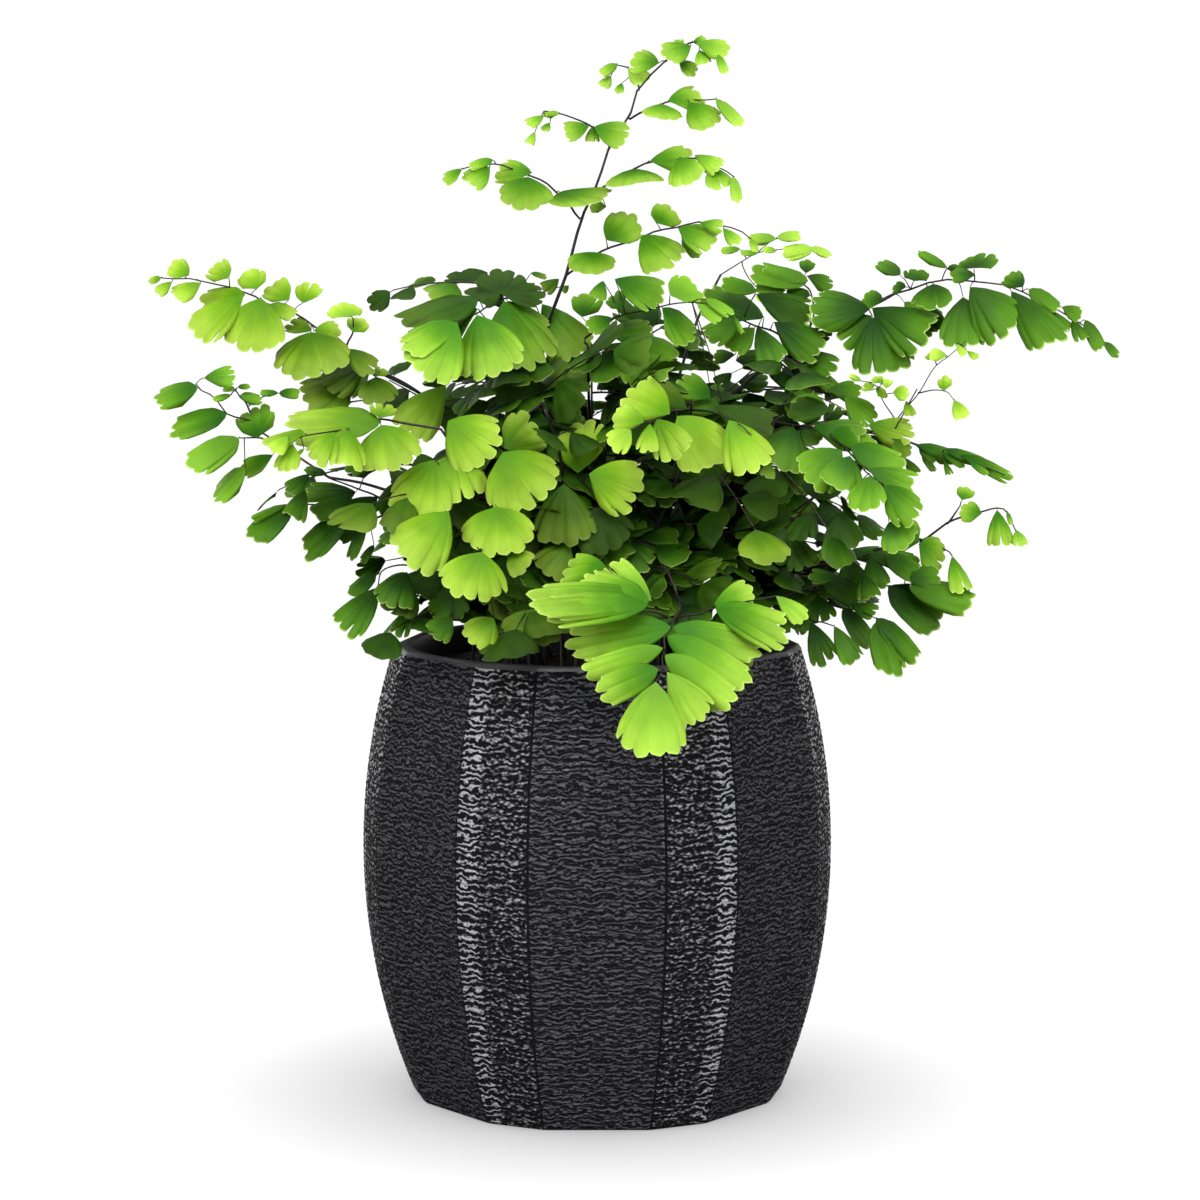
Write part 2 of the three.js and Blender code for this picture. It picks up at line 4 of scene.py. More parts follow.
import bpy
import numpy as np
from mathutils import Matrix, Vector


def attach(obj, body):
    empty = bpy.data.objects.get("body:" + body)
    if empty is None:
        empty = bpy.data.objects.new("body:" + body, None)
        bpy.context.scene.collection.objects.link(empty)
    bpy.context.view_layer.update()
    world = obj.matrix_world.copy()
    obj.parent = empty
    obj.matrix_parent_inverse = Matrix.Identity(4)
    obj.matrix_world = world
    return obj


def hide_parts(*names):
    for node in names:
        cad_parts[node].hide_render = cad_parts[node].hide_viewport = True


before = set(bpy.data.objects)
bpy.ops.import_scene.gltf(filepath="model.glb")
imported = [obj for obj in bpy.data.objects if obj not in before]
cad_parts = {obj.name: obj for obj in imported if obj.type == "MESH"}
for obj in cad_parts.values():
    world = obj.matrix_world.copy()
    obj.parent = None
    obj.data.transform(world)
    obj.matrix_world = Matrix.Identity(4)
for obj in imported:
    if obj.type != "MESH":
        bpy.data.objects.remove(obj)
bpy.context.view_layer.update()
print("frame loaded")

mm = 0.001
up = np.array([0.0, 0.0, 1.0])
roundTurn = 6.3  # a little over a full turn, for random phases

camera = {
    "place": (0.9, -1195.5, 295.0),
    "pitch": 0.1138,  # radians downwards
    "focal": 3775.0,  # in pixels of a picture that is 1200 wide
    "picture": 1200.0,
    "sensor": 36.0,
    "range": (0.01, 20),  # metres
}


def unit(vectors):
    return vectors / np.linalg.norm(vectors, axis=-1, keepdims=True)


def mixed(one, other, share):
    return one + (other - one) * share


# Ray through a pixel: forward, plus the pixel's offsets across and up over the focal length
def rayThrough(pixels):
    pixels = np.asarray(pixels, float)
    across = (pixels[..., 0] - camera["picture"] / 2) / camera["focal"]
    rise = (camera["picture"] / 2 - pixels[..., 1]) / camera["focal"]
    cosine, sine = math.cos(camera["pitch"]), math.sin(camera["pitch"])
    return np.stack([across, cosine + sine * rise, cosine * rise - sine], -1)


# Where the ray through a pixel is at a given y
def atDepth(pixels, y):
    ray = rayThrough(pixels)
    eye = np.array(camera["place"])
    return eye + ray * ((np.asarray(y) - eye[1]) / ray[..., 1])[..., None]


# Where the ray through a pixel meets the plane through a point
def onPlane(pixels, point, normal):
    ray = rayThrough(pixels)
    eye = np.array(camera["place"])
    reach = ((point - eye) * normal).sum(-1) / (ray * normal).sum(-1)
    return eye + ray * reach[..., None]


# Random numbers between 0 and 1 from a seed, the same ones that the frame's leaflets were laid out with
def seededRandom(seed):
    state = seed & 0xFFFFFFFF

    def draw():
        nonlocal state
        state = (state + 0x6D2B79F5) & 0xFFFFFFFF
        word = ((state ^ (state >> 15)) * (1 | state)) & 0xFFFFFFFF
        word = ((word + (((word ^ (word >> 7)) * (61 | word)) & 0xFFFFFFFF)) & 0xFFFFFFFF) ^ word
        return ((word ^ (word >> 14)) & 0xFFFFFFFF) / 4294967296

    return draw


# The faces of copies of one shape, whose points follow each other
def copied(faces, number, size):
    shift = (np.arange(number) * size)[:, None, None]
    return (faces[None] + shift).reshape(-1, faces.shape[1])


class Wire:  # an output socket that takes Python's operators, each of which adds a Math node
    def __init__(self, graph, socket):
        self.graph, self.socket = graph, socket

    def maths(self, operation, first, second=0.0, clamp=False):
        settings = {"operation": operation, "use_clamp": clamp}
        return self.graph.add("ShaderNodeMath", settings, {0: first, 1: second})

    def __add__(self, other):
        return self.maths("ADD", self, other)

    def __radd__(self, other):
        return self.maths("ADD", other, self)

    def __sub__(self, other):
        return self.maths("SUBTRACT", self, other)

    def __rsub__(self, other):
        return self.maths("SUBTRACT", other, self)

    def __mul__(self, other):
        return self.maths("MULTIPLY", self, other)

    def __rmul__(self, other):
        return self.maths("MULTIPLY", other, self)

    def sine(self):
        return self.maths("SINE", self)

    def within(self):  # kept between 0 and 1
        return self.maths("ADD", self, 0.0, True)

    def band(self, low, high):  # 0 below low, 1 above high, smooth between
        return self.graph.add(
            "ShaderNodeMapRange",
            {"interpolation_type": "SMOOTHSTEP"},
            {"Value": self, "From Min": low, "From Max": high},
        )


class Graph:  # the nodes of one material or world
    def __init__(self, tree):
        self.tree = tree
        tree.nodes.clear()

    def add(self, kind, settings=None, inputs=None, output=0):
        node = self.tree.nodes.new(kind)
        for name, value in (settings or {}).items():
            setattr(node, name, value)
        for name, value in (inputs or {}).items():
            if isinstance(value, Wire):
                self.tree.links.new(value.socket, node.inputs[name])
            else:
                node.inputs[name].default_value = value
        return Wire(self, node.outputs[output]) if node.outputs else node

    def mixColor(self, share, one, other):
        return self.add("ShaderNodeMix", {"data_type": "RGBA"}, {0: share, 6: one, 7: other}, 2)

    def attribute(self, name):
        return self.add("ShaderNodeAttribute", {"attribute_name": name}, output=2)

    def place(self):  # the point on the piece itself, in metres
        return self.add("ShaderNodeTexCoord", output=3)

    def noise(self, scale, detail):
        inputs = {"Vector": self.place(), "Scale": scale, "Detail": detail}
        return self.add("ShaderNodeTexNoise", None, inputs)

    def bump(self, height, strength, distance):
        inputs = {"Height": height, "Strength": strength, "Distance": distance}
        return self.add("ShaderNodeBump", None, inputs)

    def principled(self, color, roughness, normal, more):
        inputs = {"Base Color": color, "Roughness": roughness, "Normal": normal}
        return self.add("ShaderNodeBsdfPrincipled", None, inputs | more)

    def surface(self, shader):
        self.add("ShaderNodeOutputMaterial", None, {"Surface": shader})


def newMaterial(name):
    material = bpy.data.materials.new(name)
    material.use_nodes = True
    return material, Graph(material.node_tree)


# A display colour, as a painter reads it, turned into the linear one that a socket takes
def shade(red, green, blue):
    linear = [c / 12.92 if c <= 0.04045 else ((c + 0.055) / 1.055) ** 2.4 for c in (red, green, blue)]
    return (*linear, 1.0)


def newObject(name, data):
    thing = bpy.data.objects.new(name, data)
    bpy.context.scene.collection.objects.link(thing)
    return thing


# One mesh object from parts: each has its points, faces of three or four corners, a material number,
# and for each point a place on the surface, a tone and whether it lies on a sharp margin
def makePiece(name, parts, materials):
    counts = [len(part["points"]) for part in parts]
    starts = np.concatenate([[0], np.cumsum(counts)[:-1]])
    points = np.concatenate([part["points"] for part in parts]) * mm
    corners, sizes, numbers = [], [], []
    for part, start in zip(parts, starts):
        for faces in part["faces"]:
            corners.append((faces + start).ravel())
            sizes.append(np.full(len(faces), faces.shape[1]))
            numbers.append(np.full(len(faces), part["material"]))
    corners, sizes, numbers = map(np.concatenate, (corners, sizes, numbers))
    mesh = bpy.data.meshes.new(name)
    mesh.vertices.add(len(points))
    mesh.vertices.foreach_set("co", points.ravel())
    mesh.loops.add(len(corners))
    mesh.loops.foreach_set("vertex_index", corners.astype(np.int32))
    mesh.polygons.add(len(sizes))
    mesh.polygons.foreach_set("loop_start", (np.cumsum(sizes) - sizes).astype(np.int32))
    mesh.polygons.foreach_set("material_index", numbers.astype(np.int32))
    mesh.polygons.foreach_set("use_smooth", np.ones(len(sizes), bool))
    mesh.update(calc_edges=True)
    for key in ("tone", "relief"):
        if key in parts[0]:
            layer = mesh.attributes.new(key, "FLOAT", "POINT")
            layer.data.foreach_set("value", np.concatenate([part[key] for part in parts]).astype(np.float32))
    if "uv" in parts[0]:
        flat = np.concatenate([part["uv"] for part in parts])
        layer = mesh.uv_layers.new(name="surface")
        layer.data.foreach_set("uv", flat[corners].ravel().astype(np.float32))
    if "margin" in parts[0]:
        margin = np.concatenate([part["margin"] for part in parts])
        ends = np.empty(2 * len(mesh.edges), np.int32)
        mesh.edges.foreach_get("vertices", ends)
        sharp = mesh.attributes.new("sharp_edge", "BOOLEAN", "EDGE")
        sharp.data.foreach_set("value", margin[ends.reshape(-1, 2)].all(1))
    for material in materials:
        mesh.materials.append(material)
    mesh.validate()
    piece = newObject(name, mesh)
    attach(piece, "root")
    return piece


# Round tubes along N paths of K points. Around each point stands a ring of `sides` points at its radius,
# in the plane that the path goes through at a right angle, and a point closes each end
def tubes(paths, radii, sides, tone):
    paths = np.asarray(paths, float)
    number, count = paths.shape[:2]
    radii = np.broadcast_to(np.asarray(radii, float), (number, count))
    tangent = unit(np.gradient(paths, axis=1) + 1e-9)
    least = np.abs(tangent).mean(1).argmin(-1)
    side = unit(np.cross(tangent, np.eye(3)[least][:, None, :]))
    other = np.cross(tangent, side)
    angle = np.linspace(0, 2 * np.pi, sides, endpoint=False)
    ring = side[:, :, None] * np.cos(angle)[:, None] + other[:, :, None] * np.sin(angle)[:, None]
    rings = paths[:, :, None] + ring * radii[:, :, None, None]
    points = np.concatenate([rings.reshape(number, -1, 3), paths[:, :1], paths[:, -1:]], 1)
    grid = np.arange(count * sides).reshape(count, sides)
    right = np.roll(grid, -1, 1)
    walls = np.stack([grid[:-1], right[:-1], right[1:], grid[1:]], -1).reshape(-1, 4)
    foot = np.stack([right[0], grid[0], np.full(sides, count * sides)], -1)
    head = np.stack([grid[-1], right[-1], np.full(sides, count * sides + 1)], -1)
    caps = np.concatenate([foot, head])
    size = points.shape[1]
    along = np.concatenate([np.repeat(np.linspace(0, 1, count), sides), [0, 1]])
    around = np.concatenate([np.tile(angle / (2 * np.pi), count), [0, 0]])
    return {
        "points": points.reshape(-1, 3),
        "faces": [copied(walls, number, size), copied(caps, number, size)],
        "material": 1,
        "uv": np.tile(np.stack([around, along], -1), (number, 1)),
        "tone": np.full(number * size, tone),
        "margin": np.zeros(number * size, bool),
    }


leaflet = {
    "thickness": 0.3,
    "cleft": (0.055, 0.115),  # depth between two lobes, as a share of the length
    "deepCleft": 0.34,  # the most that the few go in that go far, and the shares of it
    "deepSpread": (0.6, 1.0),
    "deepShare": 0.2,  # how many do
    "ragged": (0.008, 0.03),  # how much a margin's points and its lobes vary in reach
    "shoulder": (0.36, 0.36),  # share of the length that a corner loses, and of the width where it does
    "cornerPower": 2.2,
    "lobeRaise": 0.01,  # how far a lobe's middle stands above its clefts
    "lobeLevel": 0.6,
    "cup": (-0.03, 0.14),  # how far the sides hang
    "droop": (0.05, 0.2),  # and the margin
    "wave": 0.045,
    "waves": 4,  # radians from the middle to a side
    "skew": (-0.3, 0.3),  # of a leaflet that points ahead, and of one that stands aside
    "asideSkew": 0.5,
    "fineRows": (0.1, 0.32, 0.62, 0.86, 1.0),
    "plainRows": (0.35, 0.75, 1.0),
    "fineLobes": (2.2, 0.27),  # their number: the first, plus the second for each mm across
    "fineLimits": (3, 8),
    "plainLobes": (3, 4),  # of short leaflets and of those over the length below
    "plainShort": 6,
}
lobeSteps = {  # share of a lobe's width, and how full it is there
    "fine": ((0.0, 0.0), (0.13, 0.962), (0.36, 0.998), (0.64, 0.998), (0.87, 0.962)),
    "plain": ((0.0, 0.0), (0.16, 0.96), (0.5, 1.0), (0.84, 0.96)),
}


# Leaflets that have the same number of lobes, as closed lenses that end in a sharp margin. u goes from
# -1 at one side to 1 at the other, v from 0 at the foot to 1 at the margin.
# reach = length * (1 - corner * |u|^2.2) * lobe, and less at the shoulders; ahead = reach * cos(half * u)
# * v, left = reach * sin(half * u) * (1 - (1 - v)^broad). The height is the length times the sum of each
# lobe's raised middle, less cup * |u|^1.5 * v, plus wave * sin(phase + 4 u) * v^2, less droop * v^2
def leafletSurface(leaves, lobes, detail, draw):
    steps = np.array(lobeSteps[detail])
    rows = np.array(leaflet["fineRows" if detail == "fine" else "plainRows"])
    number = len(leaves["length"])
    each = {key: values[:, None, None] for key, values in leaves.items()}
    columns = lobes * len(steps) + 1
    lobeShare = np.append(np.tile(steps[:, 0], lobes), 0.0)
    full = np.append(np.tile(steps[:, 1], lobes), 0.0)
    place = np.append((np.arange(lobes)[:, None] + steps[:, 0]).ravel(), lobes)
    u = 2 * place / lobes - 1
    depth = draw.uniform(*leaflet["cleft"], (number, lobes + 1))
    deep = draw.random((number, lobes + 1)) < leaflet["deepShare"]
    depth = np.where(deep, leaflet["deepCleft"] * draw.uniform(*leaflet["deepSpread"], depth.shape), depth)
    depth = depth * leaves["calm"][:, None]
    depth[:, [0, -1]] = 0.0
    isCleft = lobeShare == 0
    pointSpread, lobeSpread = leaflet["ragged"]
    margin = np.broadcast_to(full, (number, columns)) * (1 + draw.normal(0, pointSpread, (number, columns)))
    uneven = draw.normal(0, lobeSpread, (number, lobes + 1))
    margin = margin * (1 + np.repeat(uneven, len(steps), 1)[:, :columns])
    margin[:, isCleft] = 1 - depth
    loss, where = leaflet["shoulder"]
    margin = margin * (1 - loss * np.clip((np.abs(u) - 1 + where) / where, 0, 1) ** 2)
    corner = leaves["corner"][:, None] * (1 + leaves["skew"][:, None] * u)
    kept = 1 - corner * np.abs(u) ** leaflet["cornerPower"]
    reach = (leaves["length"][:, None] * kept * margin)[..., None]
    angle = (leaves["half"][:, None] * u)[..., None]
    width = 1 - (1 - rows) ** each["broad"]
    forward = reach * np.cos(angle) * rows
    sideways = reach * np.sin(angle) * width
    arch = 4 * lobeShare * (1 - lobeShare) - leaflet["lobeLevel"]
    raised = leaflet["lobeRaise"] * arch[:, None] * rows ** 1.5
    raised = raised * each["calm"]
    cup = each["cup"] * np.abs(u)[:, None] ** 1.5 * rows
    wave = leaflet["wave"] * np.sin(each["phase"] + leaflet["waves"] * u[:, None]) * rows ** 2
    height = each["length"] * (raised - cup + wave - each["droop"] * rows ** 2)
    middle = (each["foot"] + each["ahead"] * forward[..., None] + each["left"] * sideways[..., None]
              + each["face"] * height[..., None])
    isEdge = np.zeros((columns, len(rows)), bool)
    isEdge[[0, -1]] = True
    isEdge[:, -1] = True
    half = leaflet["thickness"] / 2 * np.where(isEdge, 0, 1 - 0.5 * rows)[..., None]
    upper = middle + each["face"] * half
    lower = (middle - each["face"] * half)[:, ~isEdge]
    points = np.concatenate([leaves["foot"][:, None], upper.reshape(number, -1, 3), lower], 1)

    top = np.arange(columns * len(rows)).reshape(columns, len(rows)) + 1
    under = top.copy()
    under[~isEdge] = np.arange((~isEdge).sum()) + top.size + 1
    quads, ends = [], []
    for sheet, flip in ((top, 1), (under, -1)):
        quad = np.stack([sheet[:-1, :-1], sheet[:-1, 1:], sheet[1:, 1:], sheet[1:, :-1]], -1)
        end = np.stack([np.zeros(columns - 1, int), sheet[:-1, 0], sheet[1:, 0]], -1)
        quads.append(quad.reshape(-1, 4)[:, ::flip])
        ends.append(end[:, ::flip])
    size = points.shape[1]
    across = 0.5 + leaves["half"][:, None] * u / np.pi
    sheetUv = np.stack(np.broadcast_arrays(across[..., None], rows), -1)
    centre = np.broadcast_to([0.5, 0.0], (number, 1, 2))
    uv = np.concatenate([centre, sheetUv.reshape(number, -1, 2), sheetUv[:, ~isEdge]], 1)
    onMargin = np.concatenate([[True], isEdge.ravel(), np.zeros((~isEdge).sum(), bool)])
    return {
        "points": points.reshape(-1, 3),
        "faces": [copied(np.concatenate(faces), number, size) for faces in (quads, ends)],
        "material": 0,
        "uv": uv.reshape(-1, 2),
        "tone": np.repeat(leaves["tone"], size),
        "margin": np.tile(onMargin, number),
    }


# The fronds that show from the front, each with the seed of its random draws, its root, its stem's points
# and how light its leaflets are, from 0 to 1. "sprays" are laid out by rule, and their leaflets lean in the
# direction "faces". A spray has the stem point that it grows from, a seed, its end, the number of its
# leaflets, their lengths at the foot and at the tip, and their tilt.
# "spines" and "leaves" are what the picture shows leaflet by leaflet, in its pixels. A spine has its depth
# at both ends and its points. A leaflet has its foot, its tip, half its angle and, where they differ, its
# tilt, how much further back it lies, which also paints it darker as painted shade, and how much lighter
# it is, a lift that paints in both its own tone and the light and shade where it lies.
# Some fronds also have "thick" or "slender", shares of the usual thickness of stem or spines at foot and
# tip, "young", how much lighter a spine's tip is than its foot, and "behind", how far the spines run behind
# their leaflets' feet
fronds = {
  "tall": {
    "seed": 7, "root": (-10, 6), "green": "fresh", "tone": 0.5, "thick": (1.35, 0.7),
    "stem": [
      (-18, 2, 180), (-19, 0, 219), (-16, -2, 244), (-10, -4, 261), (-5, -5, 279), (0, -5, 290),
      (4, -4, 302), (10, -3, 311), (13, -2, 320), (22, -4, 329),
    ],
    "spines": [
      (-4, -28, (565, 276), (578, 267), (600, 252), (615, 246), (638, 239), (656, 231), (679, 227),
       (699, 222), (728, 227), (741, 231), (751, 239)),
      (-5, -22, (580, 220), (569, 204), (558, 194), (545, 182), (528, 175), (512, 169), (496, 164),
       (469, 167), (462, 169)),
      (-5, -18, (600, 189), (620, 177), (638, 167), (650, 162), (665, 161), (693, 158), (707, 163),
       (718, 167), (731, 174), (734, 177)),
      (-4, -14, (609, 145), (601, 136), (591, 126), (576, 119), (558, 113), (544, 111)),
      (-3, -12, (628, 120), (640, 113), (654, 108), (667, 102), (684, 100), (705, 100), (716, 99)),
      (-2, 8, (639, 88), (635, 76), (628, 68), (617, 65)),
      (-4, -14, (666, 61), (674, 52), (682, 47), (693, 42), (699, 45), (718, 55)),
    ],
    "leaves": [
      (591, 252, 592, 273, 85, 42), (606, 240, 634, 215, 46, 50, -2), (656, 223, 674, 205, 50, 50),
      (642, 235, 670, 264, 44, 50, 3), (678, 228, 717, 241, 33), (700, 223, 724, 224, 25),
      (723, 228, 738, 243, 28), (751, 239, 757, 251, 22), (682, 238, 699, 256, 20, 60, 8),
      (560, 192, 604, 195, 50, 12), (528, 177, 526, 208, 72, 55), (532, 173, 496, 165, 30),
      (490, 167, 466, 181, 38), (493, 160, 469, 164, 16), (462, 169, 442, 179, 26),
      (606, 207, 589, 205, 36, 60, 6, 0.6), (634, 169, 636, 179, 85, 14), (650, 161, 693, 152, 26),
      (679, 158, 686, 181, 60), (695, 155, 721, 165, 28), (712, 166, 724, 186, 44),
      (733, 177, 738, 200, 20), (594, 127, 630, 135, 34), (592, 127, 593, 141, 42, 55, 3),
      (589, 126, 563, 132, 34), (559, 114, 542, 110, 16), (544, 116, 527, 124, 26),
      (550, 123, 543, 130, 36), (535, 132, 529, 143, 32), (661, 104, 663, 119, 80, 34),
      (668, 101, 704, 91, 30), (689, 103, 713, 123, 44), (716, 99, 743, 123, 14),
      (628, 68, 646, 80, 36, 50, -2, 0.4), (659, 63, 632, 56, 40, 50, 0, 0.4), (617, 64, 600, 72, 22),
      (611, 76, 601, 85, 36), (622, 83, 618, 93, 36), (691, 46, 663, 54, 36), (682, 47, 679, 36, 30),
      (693, 42, 706, 37, 24), (696, 43, 730, 47, 26, 50, -2), (699, 50, 706, 63, 42),
      (679, 61, 697, 71, 36), (718, 55, 726, 72, 20),
    ],
  },
  "leftArch": {
    "seed": 14, "root": (-16, 2), "green": "lime", "tone": 0.47, "faces": -100,
    "stem": [(-25, 0, 180), (-40, -5, 213), (-54, -12, 224), (-68, -20, 232)],
    "sprays": [(2, 16, (-78, 10, 232), 4, (14, 10), 35)],
    "spines": [
      (-20, -28, (375, 377), (363, 366), (347, 352), (345, 344), (328, 333), (313, 326), (298, 314),
       (289, 311), (267, 304), (255, 295), (248, 294), (233, 288), (215, 284), (204, 282), (191, 278),
       (178, 279), (162, 278)),
      (-24, -40, (346, 349), (348, 342), (353, 332), (353, 318)),
      (-10, -24, (466, 432), (428, 402), (389, 380)),
    ],
    "leaves": [
      (161, 278, 148, 280, 22), (189, 275, 170, 262, 45), (172, 282, 155, 290, 28),
      (201, 283, 172, 295, 28), (229, 278, 210, 261, 42), (257, 289, 248, 267, 50),
      (289, 300, 268, 281, 42), (303, 303, 311, 281, 48), (245, 295, 198, 299, 20),
      (244, 295, 192, 330, 25), (261, 298, 247, 348, 52, 60, -3), (269, 305, 296, 315, 22),
      (311, 332, 304, 378, 76, 60, -3), (311, 331, 288, 321, 32), (314, 331, 341, 327, 30),
      (346, 349, 377, 369, 28), (365, 368, 322, 377, 34, 45, 4), (353, 381, 306, 403, 42, 55, 6),
      (376, 377, 381, 404, 62, 55, 2), (375, 376, 385, 366, 40), (348, 317, 342, 301, 72, 38),
      (353, 332, 361, 316, 50, 50), (446, 386, 401, 425, 32, 55, 0, -0.3),
      (489, 402, 440, 420, 36, 55, 6, -0.3),
    ],
  },
  "crownLeft": {
    "seed": 17, "root": (-9, -1), "green": "fresh", "tone": 0.39, "faces": -95,
    "stem": [(-20, -4, 180), (-24, -8, 229), (-26, 5, 257)],
    "sprays": [
      (1, 18, (4, -42, 240), 4, (18, 16), 50), (2, 19, (-64, -2, 257), 6, (15, 10), 26),
      (0, 20, (-46, -34, 202), 4, (14, 12), 50), (0, 21, (-42, -44, 190), 4, (14, 12), 50),
    ],
    "spines": [
      (5, -38, (535, 298), (521, 297), (502, 299), (491, 304), (476, 314), (456, 322)),
    ],
    "leaves": [
      (501, 294, 503, 268, 72, 35, 0, -0.6), (501, 294, 542, 286, 34, 30, 0, -0.6),
      (500, 294, 478, 300, 32, 30, 0, -0.5), (478, 299, 398, 313, 16, 30, 0, -0.3),
      (478, 309, 412, 326, 28), (457, 322, 420, 371, 42, 60), (454, 322, 403, 347, 20, 50, 2),
      (477, 315, 493, 373, 48, 62, -4), (504, 301, 531, 368, 42, 62, -2), (507, 301, 544, 328, 28, 50, 3),
      (542, 304, 576, 354, 34, 58), (550, 346, 582, 391, 40, 60), (523, 374, 523, 413, 68, 60, 14),
      (531, 273, 547, 276, 14), (559, 279, 544, 288, 36), (569, 286, 561, 290, 40),
    ],
  },
  "leftMid": {
    "seed": 22, "root": (-22, -5), "green": "mid", "tone": 0.55,
    "stem": [(-36, -12, 172), (-52, -20, 189), (-70, -25, 197), (-83, -30, 200)],
    "spines": [
      (-30, -40, (272, 439), (263, 433), (254, 422), (236, 417), (227, 414), (214, 397), (199, 389),
       (196, 384)),
      (-30, -38, (279, 449), (268, 443), (261, 438), (240, 438)),
      (-28, -36, (254, 422), (246, 403), (240, 397), (235, 390), (231, 395)),
    ],
    "leaves": [
      (198, 388, 151, 396, 20), (204, 378, 236, 373, 28), (227, 414, 170, 428, 18),
      (231, 395, 212, 398, 13), (235, 389, 222, 388, 20), (238, 387, 250, 386, 20),
      (240, 396, 264, 396, 20), (278, 393, 260, 391, 14), (279, 393, 300, 391, 20),
      (257, 438, 253, 405, 46), (239, 438, 192, 463, 23), (273, 455, 240, 470, 24),
      (245, 468, 210, 496, 20),
    ],
  },
  "leftLow": {
    "seed": 25, "root": (-24, -13), "green": "deep", "faces": -125,
    "stem": [(-36, -21, 158), (-49, -32, 174), (-64, -40, 191)],
    "sprays": [(0, 27, (-62, -58, 156), 4, (14, 13), 50)],
    "spines": [
      (-38, -58, (391, 512), (378, 497), (361, 490), (343, 483), (329, 478), (320, 471)),
      (-38, -58, (391, 512), (367, 520), (348, 513), (320, 505), (291, 505)),
      (-34, -50, (428, 580), (416, 568), (400, 565), (382, 571), (378, 586)),
      (-30, -56, (480, 579), (466, 600), (455, 612), (451, 617)),
      (-30, -56, (455, 571), (442, 579), (434, 593), (416, 595), (407, 575)),
    ],
    "leaves": [
      (291, 505, 250, 539, 21), (286, 505, 253, 514, 9), (305, 489, 293, 517, 32), (348, 513, 303, 549, 20),
      (310, 474, 286, 488, 25), (326, 474, 304, 467, 17), (356, 492, 305, 497, 34),
      (378, 497, 348, 515, 32), (373, 457, 345, 470, 22), (367, 519, 349, 555, 11),
      (367, 522, 337, 536, 15), (374, 545, 361, 562, 17), (393, 483, 382, 513, 24),
      (394, 500, 400, 530, 40), (380, 587, 341, 626, 26), (376, 574, 348, 592, 20),
      (379, 586, 409, 580, 36), (381, 588, 389, 605, 32), (407, 572, 391, 606, 46, 60),
      (441, 570, 415, 588, 44), (412, 604, 398, 633, 24), (451, 599, 431, 614, 45),
      (462, 602, 451, 616, 45), (452, 617, 431, 636, 44),
    ],
  },
  "paleLeft": {
    "seed": 28, "root": (-17, -14), "green": "lime", "faces": -90,
    "stem": [(-27, -27, 174), (-37, -45, 200), (-47, -60, 217)],
    "sprays": [(1, 29, (-66, -72, 196), 4, (19, 16), 48), (0, 30, (-54, -50, 166), 4, (15, 13), 50)],
    "spines": [
      (-62, -88, (403, 423), (382, 419), (372, 422), (353, 426), (342, 430), (304, 436), (288, 443)),
    ],
    "leaves": [
      (381, 422, 282, 423, 17, 32), (380, 418, 385, 400, 55, 45), (304, 434, 262, 434, 18, 8),
      (335, 432, 316, 459, 40, 60), (350, 431, 348, 467, 45, 60, -2), (381, 425, 396, 468, 66, 62, -4),
      (288, 436, 273, 449, 36), (293, 444, 280, 469, 36), (304, 449, 293, 457, 14),
    ],
  },
  "fans": {
    "seed": 31, "root": (-7, -13), "green": "lime", "tone": 0.46, "faces": -92, "behind": 10.0,
    "stem": [(-11, -24, 174), (-11, -35, 205), (-16, -45, 222)],
    "sprays": [(0, 33, (-24, -68, 158), 4, (18, 16), 60)],
    "spines": [
      (-40, -79, (542, 402), (532, 411), (505, 427), (487, 443), (476, 475), (455, 500), (455, 525),
       (480, 550)),
      (-35, -62, (564, 467), (578, 478), (594, 492), (612, 508)),
    ],
    "leaves": [
      (448, 421, 494, 452, 52, 62, -2), (505, 449, 539, 419, 44, 60, 3),
      (578, 473, 582, 419, 42, 60, 8, 0.35), (589, 474, 643, 490, 46, 62, -4, 0.3),
      (503, 452, 540, 503, 58, 64, -6), (454, 454, 456, 500, 66, 62), (434, 460, 412, 512, 48, 60, 3),
      (497, 507, 495, 554, 74, 62, -3), (564, 484, 564, 541, 46, 62, -1), (449, 512, 405, 558, 42, 60),
      (482, 552, 469, 601, 60, 62, -1), (594, 507, 610, 550, 58, 62, 12, -0.2),
      (569, 543, 546, 572, 48, 60, 14), (535, 532, 528, 557, 34, 60, 6), (509, 552, 527, 569, 50, 60, 14),
      (534, 609, 532, 646, 72, 62, 20), (494, 618, 469, 641, 52, 60, 8),
    ],
  },
  "brightRight": {
    "seed": 34, "root": (8, -13), "green": "lime", "faces": -90,
    "stem": [(15, -25, 174), (27, -36, 207), (29, -45, 225)],
    "sprays": [(1, 36, (47, -66, 188), 4, (16, 14), 52), (0, 37, (31, -58, 170), 4, (15, 13), 52)],
    "spines": [
      (-45, -92, (688, 410), (671, 411), (662, 417), (645, 423), (631, 430)),
      (-45, -78, (688, 410), (707, 411), (723, 416), (742, 426)),
    ],
    "leaves": [
      (670, 414, 626, 386, 36, 58, -2), (687, 409, 655, 383, 28, 56, 1), (644, 422, 613, 411, 35, 58),
      (631, 430, 610, 446, 46, 60), (650, 424, 647, 452, 34, 60), (657, 419, 677, 455, 42, 62, -2),
      (677, 416, 721, 462, 42, 62, -4, 0.45), (729, 420, 756, 471, 38, 62),
      (770, 463, 768, 478, 45, 60, 10), (716, 406, 770, 422, 26, 40, 6),
    ],
  },
  "frontDrop": {
    "seed": 38, "root": (3, -22), "green": "fresh", "tone": 0.5, "young": 0.62, "behind": 2.0,
    "stem": [(10, -44, 163), (19, -68, 176), (23, -86, 172)],
    "spines": [
      (-86, -118, (680, 609), (673, 620), (671, 628), (664, 638), (665, 648), (662, 659), (663, 668),
       (657, 681)),
      (-84, -92, (673, 620), (682, 616), (703, 613), (714, 608), (776, 596)),
      (-84, -96, (673, 620), (655, 612), (637, 611), (647, 603)),
    ],
